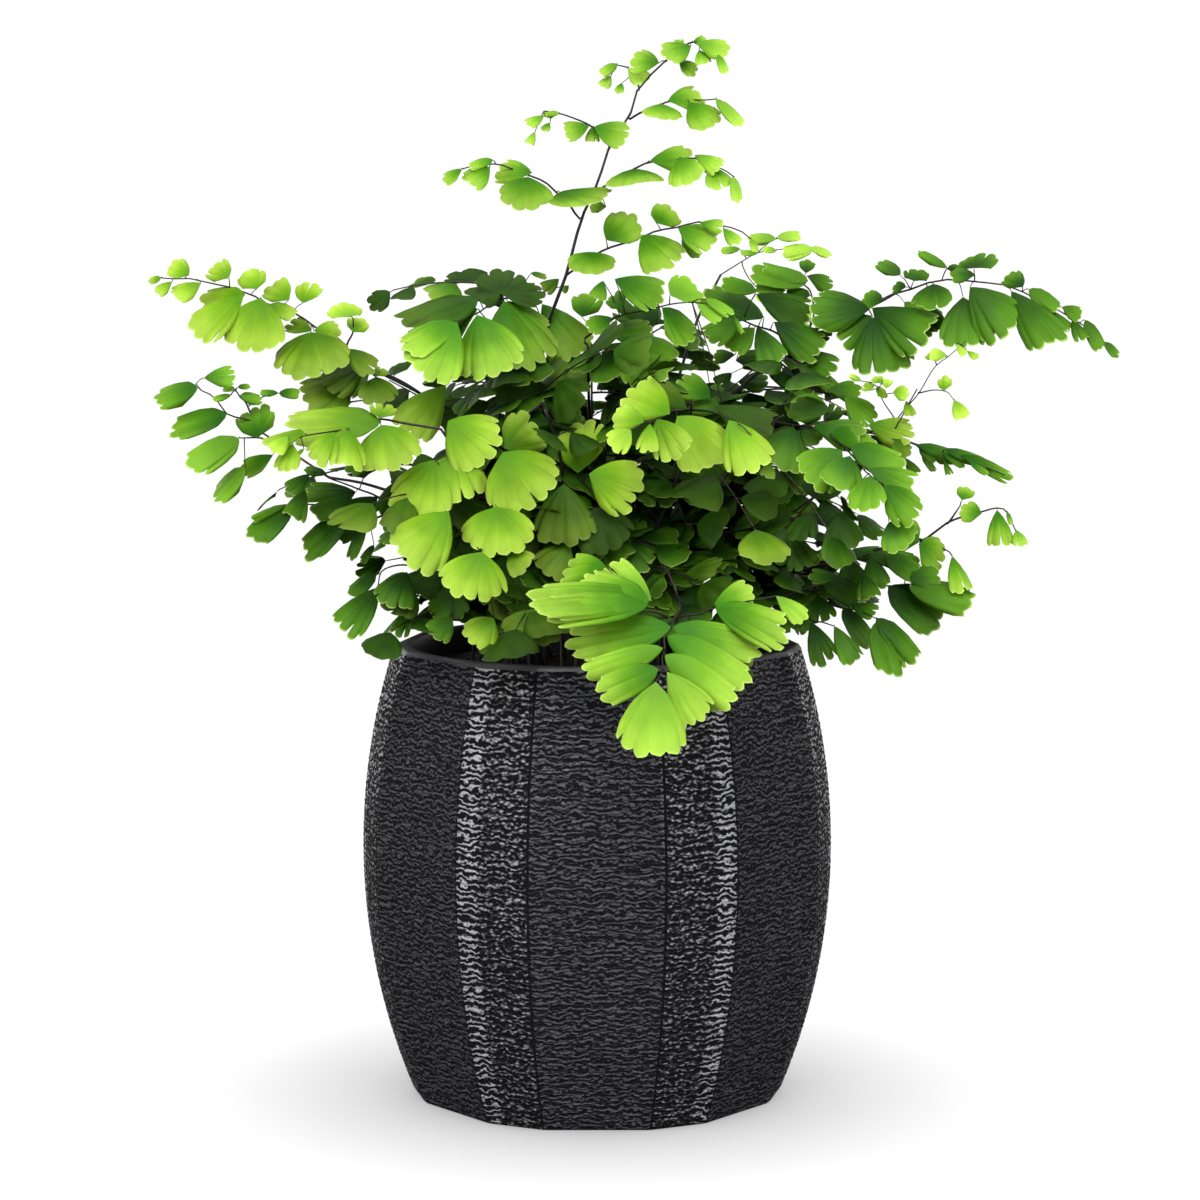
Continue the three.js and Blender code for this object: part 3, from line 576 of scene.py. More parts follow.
    "leaves": [
      (671, 627, 570, 640, 16, 64), (663, 648, 585, 670, 14, 66), (658, 669, 596, 692, 21, 66, -3),
      (673, 621, 639, 610, 18, 58), (673, 627, 762, 648, 15, 64), (667, 636, 747, 684, 16, 66, 2),
      (691, 634, 752, 670, 14, 64, 5), (665, 655, 732, 703, 18, 68, -2), (667, 672, 706, 721, 27, 70, -3),
      (656, 682, 649, 755, 40, 72, -6), (714, 605, 754, 587, 28, 50), (715, 607, 788, 627, 17, 58, -2),
      (716, 608, 784, 643, 15, 60, -3), (776, 596, 806, 619, 24, 56), (606, 567, 560, 560, 28, 56, 2),
      (648, 601, 538, 590, 14, 60, 1, -0.35), (649, 602, 580, 579, 20, 58, -1, -0.2),
      (648, 605, 552, 605, 14, 62, -2, -0.3), (652, 601, 606, 564, 24, 56, 3),
    ],
  },
  "rightCentre": {
    "seed": 41, "root": (14, -9), "green": "mid", "tone": 0.5, "faces": -80,
    "stem": [(28, -17, 173), (44, -30, 208), (57, -42, 220)],
    "sprays": [(1, 42, (70, -66, 186), 5, (16, 12), 52)],
    "spines": [
      (-44, -84, (774, 422), (799, 426), (809, 427), (829, 437), (848, 451), (866, 472), (883, 484)),
    ],
    "leaves": [
      (794, 428, 776, 464, 56, 60), (812, 427, 864, 426, 24, 50), (832, 433, 881, 443, 20, 52),
      (851, 447, 906, 466, 22, 54), (868, 469, 916, 486, 24, 56), (884, 485, 920, 516, 34, 60),
      (842, 450, 806, 479, 46, 60, -3), (850, 456, 839, 491, 52, 62, -5), (870, 476, 861, 508, 52, 62, -3),
      (779, 467, 808, 488, 25, 55, 4), (801, 430, 818, 443, 36, 55, 4), (831, 411, 792, 400, 30, 40, 8),
      (768, 541, 768, 494, 44, 70, 24), (737, 500, 718, 511, 48, 64, 24), (698, 509, 717, 530, 48, 64, 24),
      (785, 528, 774, 561, 42, 64, 22), (786, 529, 805, 567, 30, 64, 22), (839, 512, 844, 552, 44, 64, 16),
      (889, 522, 904, 548, 56, 64, 6),
    ],
  },
  "rightArch": {
    "seed": 43, "root": (11, 1), "green": "deep", "tone": 0.68, "faces": -85,
    "stem": [
      (21, 3, 171), (33, 0, 206), (43, -5, 224), (57, -8, 236), (72, -12, 247), (85, -15, 252),
      (94, -16, 257),
    ],
    "sprays": [
      (3, 47, (62, -50, 234), 4, (16, 14), 44), (1, 48, (62, -34, 204), 4, (15, 13), 46),
      (0, 49, (50, -30, 184), 4, (14, 12), 50),
    ],
    "spines": [
      (-14, -32, (776, 359), (794, 346), (807, 332), (817, 328), (835, 319), (852, 312), (870, 307),
       (886, 296), (906, 291), (934, 281), (954, 280), (988, 283), (1013, 287), (1031, 297), (1049, 305),
       (1069, 317), (1087, 327), (1105, 344)),
      (-12, -6, (808, 332), (814, 314), (812, 297), (807, 287), (785, 275)),
      (-8, -34, (776, 359), (792, 372), (806, 386), (820, 391), (844, 396)),
      (-14, -34, (794, 346), (775, 332), (756, 326), (738, 318), (724, 312), (712, 308)),
    ],
    "leaves": [
      (870, 309, 812, 299, 32, 46), (872, 316, 837, 335, 42, 58), (873, 317, 889, 369, 46, 62, -3),
      (872, 308, 930, 335, 34, 56), (883, 300, 862, 297, 40), (934, 284, 929, 308, 66, 56, -2),
      (934, 308, 934, 331, 45, 60, 8), (963, 297, 968, 346, 46, 62), (970, 287, 1009, 329, 40, 60, -2),
      (900, 275, 879, 258, 22), (914, 281, 918, 265, 55, 40), (906, 287, 891, 285, 35),
      (947, 268, 918, 248, 11), (947, 269, 964, 265, 30), (974, 268, 981, 250, 74, 40),
      (975, 275, 951, 272, 30), (1023, 287, 1008, 271, 40), (1011, 291, 1052, 339, 28, 58),
      (1029, 289, 1059, 306, 22), (1046, 308, 1067, 334, 28, 56), (1062, 307, 1083, 313, 32),
      (1072, 318, 1085, 339, 25), (1085, 320, 1104, 348, 18, 56), (1105, 342, 1118, 356, 20),
      (810, 296, 786, 288, 22), (807, 276, 835, 282, 26), (806, 273, 808, 259, 46, 50, 8),
      (757, 327, 774, 359, 34), (774, 322, 822, 350, 28, 55), (814, 332, 828, 339, 44),
      (795, 351, 833, 371, 30, 50), (766, 369, 814, 394, 12), (782, 368, 813, 384, 20, 50, 10),
      (756, 294, 812, 318, 24, 50, 16), (814, 393, 807, 414, 70, 50), (828, 390, 862, 388, 28),
      (844, 397, 876, 420, 32, 55), (810, 368, 839, 385, 18), (755, 328, 726, 346, 34),
      (741, 318, 706, 336, 27), (762, 319, 703, 287, 25), (756, 292, 721, 281, 19),
      (764, 318, 738, 300, 24), (785, 291, 755, 284, 22), (806, 284, 751, 269, 17),
      (808, 281, 764, 263, 15), (735, 355, 713, 353, 28, 50, 12), (736, 361, 766, 356, 32, 50, 12),
      (732, 373, 716, 383, 34, 50, 8), (738, 382, 768, 379, 32, 50, 8), (724, 394, 738, 382, 34, 50, 8),
      (773, 420, 715, 404, 15, 40, 8), (808, 425, 804, 396, 50, 50, 10), (785, 352, 796, 363, 20, 50, 4),
      (904, 302, 940, 326, 34, 60, 9, 0.75), (800, 420, 772, 402, 30, 50, 14),
      (826, 424, 836, 404, 36, 50, 12),
    ],
  },
  "midCentre": {
    "seed": 50, "root": (1, -4), "green": "mid", "tone": 0.52, "faces": -90,
    "stem": [(2, -1, 171), (-2, 0, 210), (-3, -10, 240)],
    "sprays": [
      (1, 51, (18, -52, 234), 5, (16, 13), 44), (1, 52, (-12, -46, 214), 4, (15, 13), 50),
      (0, 53, (30, -34, 186), 4, (14, 12), 52), (0, 54, (26, -30, 176), 4, (14, 12), 52),
    ],
    "spines": [
      (-10, -45, (584, 339), (602, 327), (619, 316), (647, 310), (672, 304), (692, 302)),
    ],
    "leaves": [
      (582, 317, 589, 290, 46, 50), (603, 281, 596, 298, 40), (612, 318, 586, 326, 36),
      (622, 309, 611, 291, 40), (615, 279, 664, 299, 28), (670, 295, 698, 282, 52),
      (662, 308, 700, 332, 34), (607, 333, 652, 325, 28), (623, 338, 666, 375, 50, 60, -4),
      (607, 346, 615, 363, 50, 60, 8), (598, 364, 621, 381, 40, 60, 6), (697, 304, 723, 316, 24),
      (706, 299, 733, 313, 15), (733, 315, 744, 331, 9), (712, 398, 679, 377, 32, 50, 12),
      (724, 412, 690, 396, 26, 50, 12),
    ],
  },
  "shoots": {
    "seed": 55, "root": (23, 0), "green": "lime", "thick": (0.8, 0.5), "slender": (0.62, 0.62),
    "stem": [(44, -4, 171), (72, -25, 197), (88, -38, 211), (98, -40, 228)],
    "spines": [
      (-38, -42, (884, 438), (895, 422), (905, 409), (919, 393), (934, 368), (949, 356), (966, 341)),
      (-38, -42, (919, 393), (934, 390), (947, 392), (954, 400)),
      (-36, -44, (893, 416), (883, 401), (879, 388), (883, 383)),
    ],
    "leaves": [
      (934, 359, 928, 351, 50, 50), (947, 356, 929, 351, 30), (944, 391, 944, 374, 36),
      (954, 400, 964, 417, 34), (956, 344, 966, 355, 24), (967, 351, 978, 358, 24),
      (861, 381, 850, 373, 16), (881, 383, 875, 375, 50), (873, 390, 864, 383, 45),
      (878, 396, 886, 389, 50), (886, 388, 888, 378, 45), (893, 393, 909, 390, 48),
      (906, 401, 913, 415, 30), (868, 425, 913, 430, 30, 55), (895, 439, 910, 456, 44),
    ],
  },
  "lowShoots": {
    "seed": 58, "root": (27, -8), "green": "fresh",
    "stem": [(48, -8, 162), (76, -25, 174), (100, -32, 181)],
    "spines": [
      (-34, -48, (924, 540), (939, 529), (949, 522), (965, 516), (981, 512), (997, 508), (1007, 512),
       (1016, 532)),
      (-36, -38, (949, 522), (956, 512), (960, 506)),
      (-34, -40, (921, 543), (935, 546), (948, 551), (952, 556)),
    ],
    "leaves": [
      (962, 500, 968, 485, 45), (981, 514, 960, 508, 48), (997, 510, 1002, 544, 32),
      (1007, 512, 1013, 524, 15), (1016, 530, 1022, 546, 36), (918, 543, 888, 526, 52, 60),
      (919, 545, 948, 556, 55, 60, -3), (952, 556, 966, 590, 24),
    ],
  },
  "narrow": {
    "seed": 60, "root": (26, 8), "green": "mid",
    "stem": [(50, 10, 177), (80, 0, 201), (97, -10, 210)],
    "spines": [
      (-10, -30, (909, 442), (930, 449), (950, 455), (970, 463), (990, 469), (1005, 475)),
    ],
    "leaves": [
      (917, 445, 965, 452, 11), (945, 449, 989, 463, 11), (962, 455, 1014, 476, 10),
      (919, 449, 938, 458, 20), (922, 457, 936, 471, 14), (943, 454, 965, 465, 14),
      (944, 461, 949, 473, 25), (970, 463, 988, 472, 12), (905, 458, 917, 473, 24, 50, -8),
    ],
  },
  "rightLow": {
    "seed": 61, "root": (26, -16), "green": "deep",
    "stem": [(46, -18, 155), (66, -25, 165), (85, -30, 171)],
    "spines": [
      (-26, -48, (814, 592), (840, 584), (862, 580), (888, 586), (909, 584), (935, 588)),
      (-22, -56, (812, 594), (828, 602), (843, 608), (860, 611), (877, 619)),
      (-22, -50, (806, 600), (811, 620), (822, 622), (834, 626)),
      (-24, -40, (814, 590), (828, 566), (846, 557), (870, 555), (890, 557)),
    ],
    "leaves": [
      (905, 579, 939, 570, 34), (909, 587, 974, 595, 18), (888, 587, 942, 622, 23),
      (843, 608, 872, 641, 19), (850, 604, 876, 613, 26), (877, 618, 919, 657, 17),
      (876, 622, 898, 670, 23), (834, 626, 857, 659, 25), (811, 622, 828, 659, 29),
      (795, 618, 808, 633, 40), (870, 555, 879, 589, 32, 60), (870, 555, 921, 560, 16),
      (886, 557, 923, 575, 23), (847, 555, 888, 546, 15), (846, 557, 817, 551, 15),
      (846, 559, 856, 586, 42, 60, 3), (862, 573, 871, 598, 36, 60, -6), (822, 579, 863, 599, 22, 55, -8),
      (838, 577, 810, 573, 24, 50, -8), (819, 596, 820, 622, 55, 60, -2),
    ],
  },
  "backPale": {
    "seed": 64, "root": (10, 14), "green": "fresh", "tone": 0.8, "slender": (0.55, 0.55),
    "stem": [(17, 30, 190), (31, 50, 240), (41, 62, 260)],
    "spines": [
      (66, 84, (741, 262), (757, 253), (775, 250), (800, 248), (826, 250)),
      (68, 84, (757, 253), (770, 242), (784, 236)),
      (66, 60, (741, 262), (750, 280), (770, 298), (790, 308), (810, 322)),
    ],
    "leaves": [
      (776, 239, 747, 235, 15), (777, 238, 803, 233, 17), (740, 249, 721, 248, 15),
      (758, 253, 740, 251, 13), (776, 251, 763, 248, 20), (813, 249, 784, 249, 22),
      (810, 248, 832, 253, 16), (781, 300, 757, 294, 15), (811, 318, 781, 296, 22),
      (810, 327, 789, 321, 20), (796, 312, 768, 307, 18),
    ],
  },
}

plant = {
    "soilTop": 136.0,
    "rootTop": 139.0,  # where a stem's first point is, and how far it goes down into the soil from there
    "rootDepth": 14.0,
    "stem": ((0.85, 0.4), 8, 0.1),  # radius at the foot and at the tip, sides and tone
    "spine": ((0.42, 0.2), 5, 0.4),
    "stalk": ((0.2, 0.13), 4, 0.8),
    "stemSteps": 31,
    "spineSteps": 19,
    "drawnSteps": 23,
    "joinFrom": 0.5,  # a drawn spine that starts further from its stem than this is joined to it
    "tone": 0.45,  # this and the two below hold where a frond names none of its own
    "young": 0.5,
    "behind": 4.5,
    # painted shade: the rule leaflets behind the drawn ones are painted darker by this much
    "shaded": 0.42,  # how much darker the leaflets behind the drawn ones are
}
# "corner" and "broad" are how much a leaflet's corners and its foot are rounded, "calm" how deep its
# clefts are, and "wider" how much wider a drawn leaflet is than the angle in its row
ruleSpray = {
    "bow": 0.12,  # upwards, as a share of its length
    "firstLeaf": 0.12,  # where the leaflets begin
    "turns": (64.0, 48.0),  # degrees that they stand off, at the foot and at the tip
    "turnSpread": 12.0,
    "sizes": (0.88, 1.12),
    "twistSpread": 44.0,
    "pitches": (-18.0, 12.0),
    "cornerRoom": 8.0,  # degrees between a leaflet's corner and the spine
    "stalk": 1.3,
    "widths": (0.85, 1.1),
    "toneSpread": 0.12,
    "samples": 201,  # points of the curve that the leaflets are measured out on, and of the spine
    "points": 12,
    "form": {"half": 58.0, "corner": 0.2, "broad": 1.6, "calm": 1.0},
}
drawnLeaf = {
    "tilt": 50,  # degrees, where a row has none
    "tiltSpread": 4,
    "tiltLimits": (6, 80),
    "facesSpread": 14,
    "toneSpread": 0.1,
    # painted shade: a leaflet that lies further back is painted darker by this much for each mm
    "depthShade": 0.03,  # how much darker it is for each mm that it lies further back
    "stalkSag": 0.08,
    "narrowHalf": 24,  # below this half angle it is oblong
    "narrow": {"wider": 1.1, "corner": 0.25, "broad": 4.2, "calm": 0.6},
    "wide": {"wider": 1.04, "corner": 0.1, "broad": 1.5, "calm": 1.0},
    "fullHalf": 80,  # above this one it goes round more than a half circle in its own plane
    "fullLimit": math.pi / 2.6,
}

# The plant's back and inside, by rule: compass direction, reach and height of the end
innerRules = [
    (14, 98, 214), (42, 104, 228), (70, 96, 240), (96, 108, 218), (120, 98, 236), (144, 104, 222),
    (168, 98, 204),
]
inner = {
    "seeds": (66, 101),  # of the first frond's leaflets and of its sprays' ends
    "rootRing": 19.0,
    "stem": ((0.3, 0.42), (0.65, 0.78), (1.0, 0.95)),  # shares of the reach and of the height
    "stemReach": 0.62,
    "sprays": ((0.4, 52), (0.4, -52), (0.45, 0)),  # share of the reach, and the turn off the stem
    "sprayFall": 0.2,
    "leaves": 4,
    "lengths": (16, 11),
    "tilt": (30, 50),
}


def compass(degrees):
    return np.array([math.cos(math.radians(degrees)), math.sin(math.radians(degrees)), 0.0])


def leaning(degrees, angle):  # the upright turned down by an angle to a compass direction
    return up * math.cos(angle) + compass(degrees) * math.sin(angle)


def walked(points):  # how far along the line through the points each of them lies
    return np.append(0, np.cumsum(np.linalg.norm(np.diff(points, axis=0), axis=1)))


def nearest(points, place):  # the number of the point that is
    return np.linalg.norm(points - place, axis=1).argmin()


# Evenly spaced points of a smooth curve through points: a cubic between each two, whose slope at a
# point is half the way from the one before to the one after
def spacedPoints(points, steps, samples=401):
    points = np.asarray(points, float)
    whole = np.concatenate([[2 * points[0] - points[1]], points, [2 * points[-1] - points[-2]]])

    def at(t):
        place = np.clip(t, 0, 1) * (len(points) - 1)
        left = np.minimum(place.astype(int), len(points) - 2)
        w = (place - left)[:, None]
        before, start, end, after = (whole[left + i] for i in range(4))
        slopeIn, slopeOut = (end - before) / 2, (after - start) / 2
        return (start + slopeIn * w + (3 * (end - start) - 2 * slopeIn - slopeOut) * w ** 2
                + (2 * (start - end) + slopeIn + slopeOut) * w ** 3)

    fine = np.linspace(0, 1, samples)
    length = walked(at(fine))
    return at(np.interp(np.linspace(0, length[-1], steps + 1), length, fine))


# A spray's spine, (1 - t)^2 * start + 2 t (1 - t) * middle + t^2 * end, whose middle is raised by a share
# of its length
def spineCurve(start, end, count):
    t = np.linspace(0, 1, count)[:, None]
    middle = (start + end) / 2 + up * ruleSpray["bow"] * np.linalg.norm(end - start)
    return (1 - t) ** 2 * start + 2 * t * (1 - t) * middle + t ** 2 * end


# One leaflet from its foot, its direction and the direction that its upper side faces
def newLeaf(foot, ahead, face, length, half, form, tone, draw, side=0):
    ahead = unit(ahead)
    face = unit(face - ahead * (face @ ahead))
    cup = draw.uniform(*leaflet["cup"])
    return {
        "foot": foot, "ahead": ahead, "left": np.cross(face, ahead), "face": face, "length": length,
        "half": half, "corner": form["corner"], "broad": form["broad"], "calm": form["calm"],
        "tone": tone, "cup": cup, "droop": draw.uniform(*leaflet["droop"]),
        "phase": draw.uniform(0, roundTurn),
        "skew": draw.uniform(*leaflet["skew"]) if side == 0 else leaflet["asideSkew"] * side,
    }


# The leaflets of a spray that is laid out by rule: left and right in turn, and one ahead at the end. They
# stand evenly along the spine, turned off it by an angle that changes from foot to tip, and their size,
# twist and pitch vary at random
def ruleLeaves(start, spray, faces, tone, draw):
    seed, end, count, lengths, tilt = spray
    draws = seededRandom(seed)
    end = np.array(end, float)
    lean = leaning(faces, math.radians(tilt))
    fine = spineCurve(start, end, ruleSpray["samples"])
    along = walked(fine)
    form, stalk = ruleSpray["form"], ruleSpray["stalk"]
    leaves, stalks = [], []
    for i in range(count):
        share = i / (count - 1)
        place = mixed(ruleSpray["firstLeaf"], 1, share) * along[-1]
        point = np.array([np.interp(place, along, fine[:, axis]) for axis in range(3)])
        index = min(np.searchsorted(along, place), len(fine) - 2)
        ahead = unit(fine[index + 1] - fine[max(index - 1, 0)])
        face = unit(lean - ahead * (lean @ ahead))
        left = np.cross(face, ahead)
        side = 0 if i == count - 1 else (1 if i % 2 == 0 else -1)
        turn = mixed(*ruleSpray["turns"], share) + ruleSpray["turnSpread"] * (draws() - 0.5)
        length = mixed(*lengths, share) * mixed(*ruleSpray["sizes"], draws())
        twist = math.radians(ruleSpray["twistSpread"] * (draws() - 0.5))
        pitch = math.radians(mixed(*ruleSpray["pitches"], draws()))
        room = 90 if side == 0 else turn - ruleSpray["cornerRoom"]
        angle = math.radians(side * turn)
        direction = unit(ahead * math.cos(angle) + left * math.sin(angle) + face * math.sin(pitch))
        leftHere = np.cross(face, direction) + face * math.tan(twist) * (side or 1)
        faceHere = np.cross(direction, unit(leftHere))
        foot = point + direction * stalk
        half = math.radians(min(form["half"], room)) * draw.uniform(*ruleSpray["widths"])
        light = tone + draw.normal(0, ruleSpray["toneSpread"])
        leaves.append(newLeaf(foot, direction, faceHere, length - stalk, half, form, light, draw, side))
        stalks.append(np.linspace(point, foot, 3))
    return spineCurve(start, end, ruleSpray["points"]), leaves, stalks


# The leaflets that are drawn by their feet and tips in the picture. Each lies in a plane that leans to
# the front, and its foot is as deep as the nearest point of its spray's spine. Its length and half angle
# follow from where the rays through its tip and its two corners meet that plane
def drawnLeaves(rows, spines, behind, tone, young, draw):
    knots = np.concatenate(spines)
    knotShares = np.concatenate([np.linspace(0, 1, len(spine)) for spine in spines])
    eye = np.array(camera["place"])
    knotRays = (knots - eye) / (knots[:, 1] - eye[1])[:, None]
    leaves, stalks = [], []
    for row in rows:
        footX, footY, tipX, tipY, half = row[:5]
        tilt, shift, extra = row[5:] + (drawnLeaf["tilt"], 0, 0)[len(row) - 5:]
        pixel = np.array([footX, footY], float)
        ray = rayThrough(pixel)
        near = nearest(knotRays, ray / ray[1])
        foot = atDepth(pixel, knots[near][1] - behind + shift)
        tilt = np.clip(tilt + draw.normal(0, drawnLeaf["tiltSpread"]), *drawnLeaf["tiltLimits"])
        plane = leaning(-90 + draw.normal(0, drawnLeaf["facesSpread"]), math.radians(tilt))
        arrow = np.array([tipX - footX, tipY - footY], float)
        spread = math.radians(half)
        turned = [np.array([arrow[0] * math.cos(s) - arrow[1] * math.sin(s),
                            arrow[0] * math.sin(s) + arrow[1] * math.cos(s)]) for s in (-spread, spread)]
        tip, *sides = [onPlane(pixel + step, foot, plane) - foot for step in (arrow, *turned)]
        one, other = unit(np.array(sides))
        trueHalf = math.acos(np.clip(one @ other, -1, 1)) / 2
        if half > drawnLeaf["fullHalf"] and trueHalf < drawnLeaf["fullLimit"]:
            trueHalf = math.pi - trueHalf
        form = drawnLeaf["narrow" if half < drawnLeaf["narrowHalf"] else "wide"]
        # The tip lighter, painted shade for lying further back, and the row's own lift, which holds both its
        # own tone and painted light and shade
        lit = young * (knotShares[near] - 0.5) - drawnLeaf["depthShade"] * max(shift, 0) + extra
        light = tone + lit + draw.normal(0, drawnLeaf["toneSpread"])
        length = np.linalg.norm(tip)
        leaves.append(newLeaf(foot, unit(tip), plane, length, trueHalf * form["wider"], form, light, draw))
        sag = up * drawnLeaf["stalkSag"] * np.linalg.norm(foot - knots[near])
        stalks.append(np.stack([knots[near], (knots[near] + foot) / 2 + sag, foot]))
    return leaves, stalks


# A spine from its pixels, joined to the nearest point of the stem or of the spines before it
def drawnSpine(row, behind, stem, others):
    startDepth, endDepth, *pixels = row
    pixels = np.array(pixels, float)
    along = walked(pixels)
    points = atDepth(pixels, mixed(startDepth, endDepth, along / along[-1]) + behind)
    carriers = np.concatenate([stem, *others])
    root = carriers[nearest(carriers, points[0])]
    if np.linalg.norm(root - points[0]) > plant["joinFrom"]:
        points = np.concatenate([[root], points])
    return spacedPoints(points, plant["drawnSteps"])


# Leaflet parts, one for each number of lobes
def leafBatches(leaves, detail, draw):
    lengths = np.array([leaf["length"] for leaf in leaves])
    halves = np.array([leaf["half"] for leaf in leaves])
    if detail == "fine":
        least, each = leaflet["fineLobes"]
        wanted = np.clip(np.round(least + lengths * halves * each), *leaflet["fineLimits"]).astype(int)
    else:
        wanted = np.where(lengths < leaflet["plainShort"], *leaflet["plainLobes"])
    parts = []
    for lobes in np.unique(wanted):
        group = [leaf for leaf, count in zip(leaves, wanted) if count == lobes]
        stacked = {key: np.array([leaf[key] for leaf in group], float) for key in group[0]}
        stacked["tone"] = np.clip(stacked["tone"], 0, 1)
        parts.append(leafletSurface(stacked, int(lobes), detail, draw))
    return parts


# Stems, spines or stalks, whose look is their radius at both ends, their sides and their tone
def wires(paths, look, thick=(1.0, 1.0)):
    radius, sides, tone = look
    count = len(paths[0])
    return tubes(paths, np.linspace(*radius, count) * np.linspace(*thick, count), sides, tone)


# A whole frond: its stem out of the soil, its sprays and their leaflets
def makeFrond(name, data, materials):
    draw = np.random.default_rng(data["seed"])
    tone, young, behind = (data.get(key, plant[key]) for key in ("tone", "young", "behind"))
    foot = np.array([*data["root"], plant["rootTop"]])
    stemPoints = np.array([foot, *data["stem"]], float)
    bends = spacedPoints(stemPoints, len(data["stem"]) + 3)
    rooted = np.concatenate([[foot - up * plant["rootDepth"]], stemPoints])
    stem = spacedPoints(rooted, plant["stemSteps"])
    spines, fine, plain, stalks = [], [], [], []
    for row in data.get("spines", []):
        spines.append(drawnSpine(row, behind, stem, spines))
    if spines:
        fine, stalks = drawnLeaves(data["leaves"], spines, behind, tone, young, draw)
        # painted shade on the rule leaflets, which lie behind the drawn ones
        tone -= plant["shaded"]
    for bend, *spray in data.get("sprays", []):
        start = bends[nearest(bends, data["stem"][bend])]
        spine, made, links = ruleLeaves(start, spray, data["faces"], tone, draw)
        spines.append(spine)
        plain += made
        stalks += links
    parts = leafBatches(fine, "fine", draw) + leafBatches(plain, "plain", draw)
    even = np.stack([spacedPoints(spine, plant["spineSteps"]) for spine in spines])
    parts.append(wires(stem[None], plant["stem"], data.get("thick", (1.0, 1.0))))
    parts.append(wires(even, plant["spine"], data.get("slender", (1.0, 1.0))))
    parts.append(wires(np.stack(stalks), plant["stalk"]))
    piece = makePiece(f"frond_{name}", parts, materials)
    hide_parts(name)


# A frond of the back and inside: its stem bends outwards, and a spray grows from each of its points
def innerFrond(number, azimuth, reach, height):
    leafSeed, spraySeed = inner["seeds"]
    leafSeed += number * len(inner["sprays"])
    draws = seededRandom(spraySeed + number)
    stem, sprays = [], []
    for out, rise in inner["stem"]:
        distance = mixed(inner["rootRing"], reach * inner["stemReach"], out)
        level = plant["soilTop"] + (height - plant["soilTop"]) * rise
        stem.append(compass(azimuth) * distance + up * level)
    for i, (share, turn) in enumerate(inner["sprays"]):
        length = reach * share
        end = stem[i] + compass(azimuth + turn) * length
        end[2] -= length * inner["sprayFall"] * draws()
        tilt = mixed(*inner["tilt"], draws())
        sprays.append((i, leafSeed + i, end, inner["leaves"], inner["lengths"], tilt))
    root = (compass(azimuth) * inner["rootRing"])[:2]
    return {"root": root, "green": "deep", "seed": leafSeed, "faces": azimuth, "stem": stem,
            "sprays": sprays}


undergrowth = {
    "seed": 77,
    "stems": 52,
    "stemSteps": 15,
    "goldenAngle": 137.508,  # from one stem to the next, give or take the spread below
    "azimuthSpread": 12,
    "rootRing": (6.0, 42.0),
    "rootDepth": 8,
    "reach": (14.0, 72.0),
    "front": 0.34,  # what is left of the reach to the front, where the big fans hang
    "left": 0.62,
    "right": 0.85,
    "bends": ((0.12, 0.35), (0.42, 0.72), (1.0, 1.0)),  # shares of a stem's reach and of its rise
    "top": 262.0,  # height of its crown in the middle, and how much lower it is further out
    "fall": 78.0,
    "spread": (0.5, 0.98),  # share of that height that a stem reaches
    "sprays": ((-48, 11), (52, 13), (0, 15)),  # turn off the stem, and the stem point they grow from
    "turnSpread": 15,
    "sprayLength": (26.0, 44.0),
    "sprayFall": (-0.1, 0.35),
    "firstSeed": 900,
    "leaves": 6,
    "lengths": (15.0, 12.0),
    "tilt": (28.0, 62.0),
    # low, so that these leaflets are painted darker, painted shade of the plant's dark inside, on top of
    # their deep green
    "tone": 0.3,
    "stem": ((0.6, 0.35), 6, 0.1),
    "spine": ((0.35, 0.18), 4, 0.3),
    "stalk": ((0.2, 0.13), 4, 0.6),
}


def held(way):  # the share of its reach that the undergrowth has in a direction
    front = undergrowth["front"] if way[1] < 0 else 1.0
    aside = undergrowth["left"] if way[0] < 0 else undergrowth["right"]
    return np.array([aside, front, 1.0])


# The young growth in the dark middle of the plant. Stem i stands in the golden angle times i, and the
# further out it goes the lower it ends; a spray grows from it to each side, and one ahead
def makeUndergrowth(materials):
    draw = np.random.default_rng(undergrowth["seed"])
    ground, perSpray = plant["soilTop"], len(undergrowth["sprays"])
    azimuthSpread, turnSpread = undergrowth["azimuthSpread"], undergrowth["turnSpread"]
    stems, spines, leaves, stalks = [], [], [], []
    for i in range(undergrowth["stems"]):
        azimuth = undergrowth["goldenAngle"] * i + draw.uniform(-azimuthSpread, azimuthSpread)
        share = math.sqrt((i + 0.5) / undergrowth["stems"])
        outward = compass(azimuth)
        root = outward * mixed(*undergrowth["rootRing"], share)
        reach = mixed(*undergrowth["reach"], share) * held(outward)
        crown = undergrowth["top"] - undergrowth["fall"] * share ** 2
        rise = mixed(ground, crown, draw.uniform(*undergrowth["spread"])) - ground
        points = [root + up * (ground - undergrowth["rootDepth"])]
        for out, level in undergrowth["bends"]:
            points.append(mixed(root, outward * reach, out) + up * (ground + rise * level))
        stems.append(spacedPoints(points, undergrowth["stemSteps"]))
        for turn, along in undergrowth["sprays"]:
            start = stems[-1][along]
            way = compass(azimuth + turn + draw.uniform(-turnSpread, turnSpread))
            length = draw.uniform(*undergrowth["sprayLength"])
            end = start + way * held(way) * length - up * length * draw.uniform(*undergrowth["sprayFall"])
            spray = (undergrowth["firstSeed"] + perSpray * i + turn, end, undergrowth["leaves"],
                     undergrowth["lengths"], draw.uniform(*undergrowth["tilt"]))
            spine, made, links = ruleLeaves(start, spray, azimuth + turn / 2, undergrowth["tone"], draw)
            spines.append(spine)
            leaves += made
            stalks += links
    parts = leafBatches(leaves, "plain", draw)
    for kind, paths in (("stem", stems), ("spine", spines), ("stalk", stalks)):
        parts.append(wires(np.stack(paths), undergrowth[kind]))
    piece = makePiece("undergrowth", parts, materials)


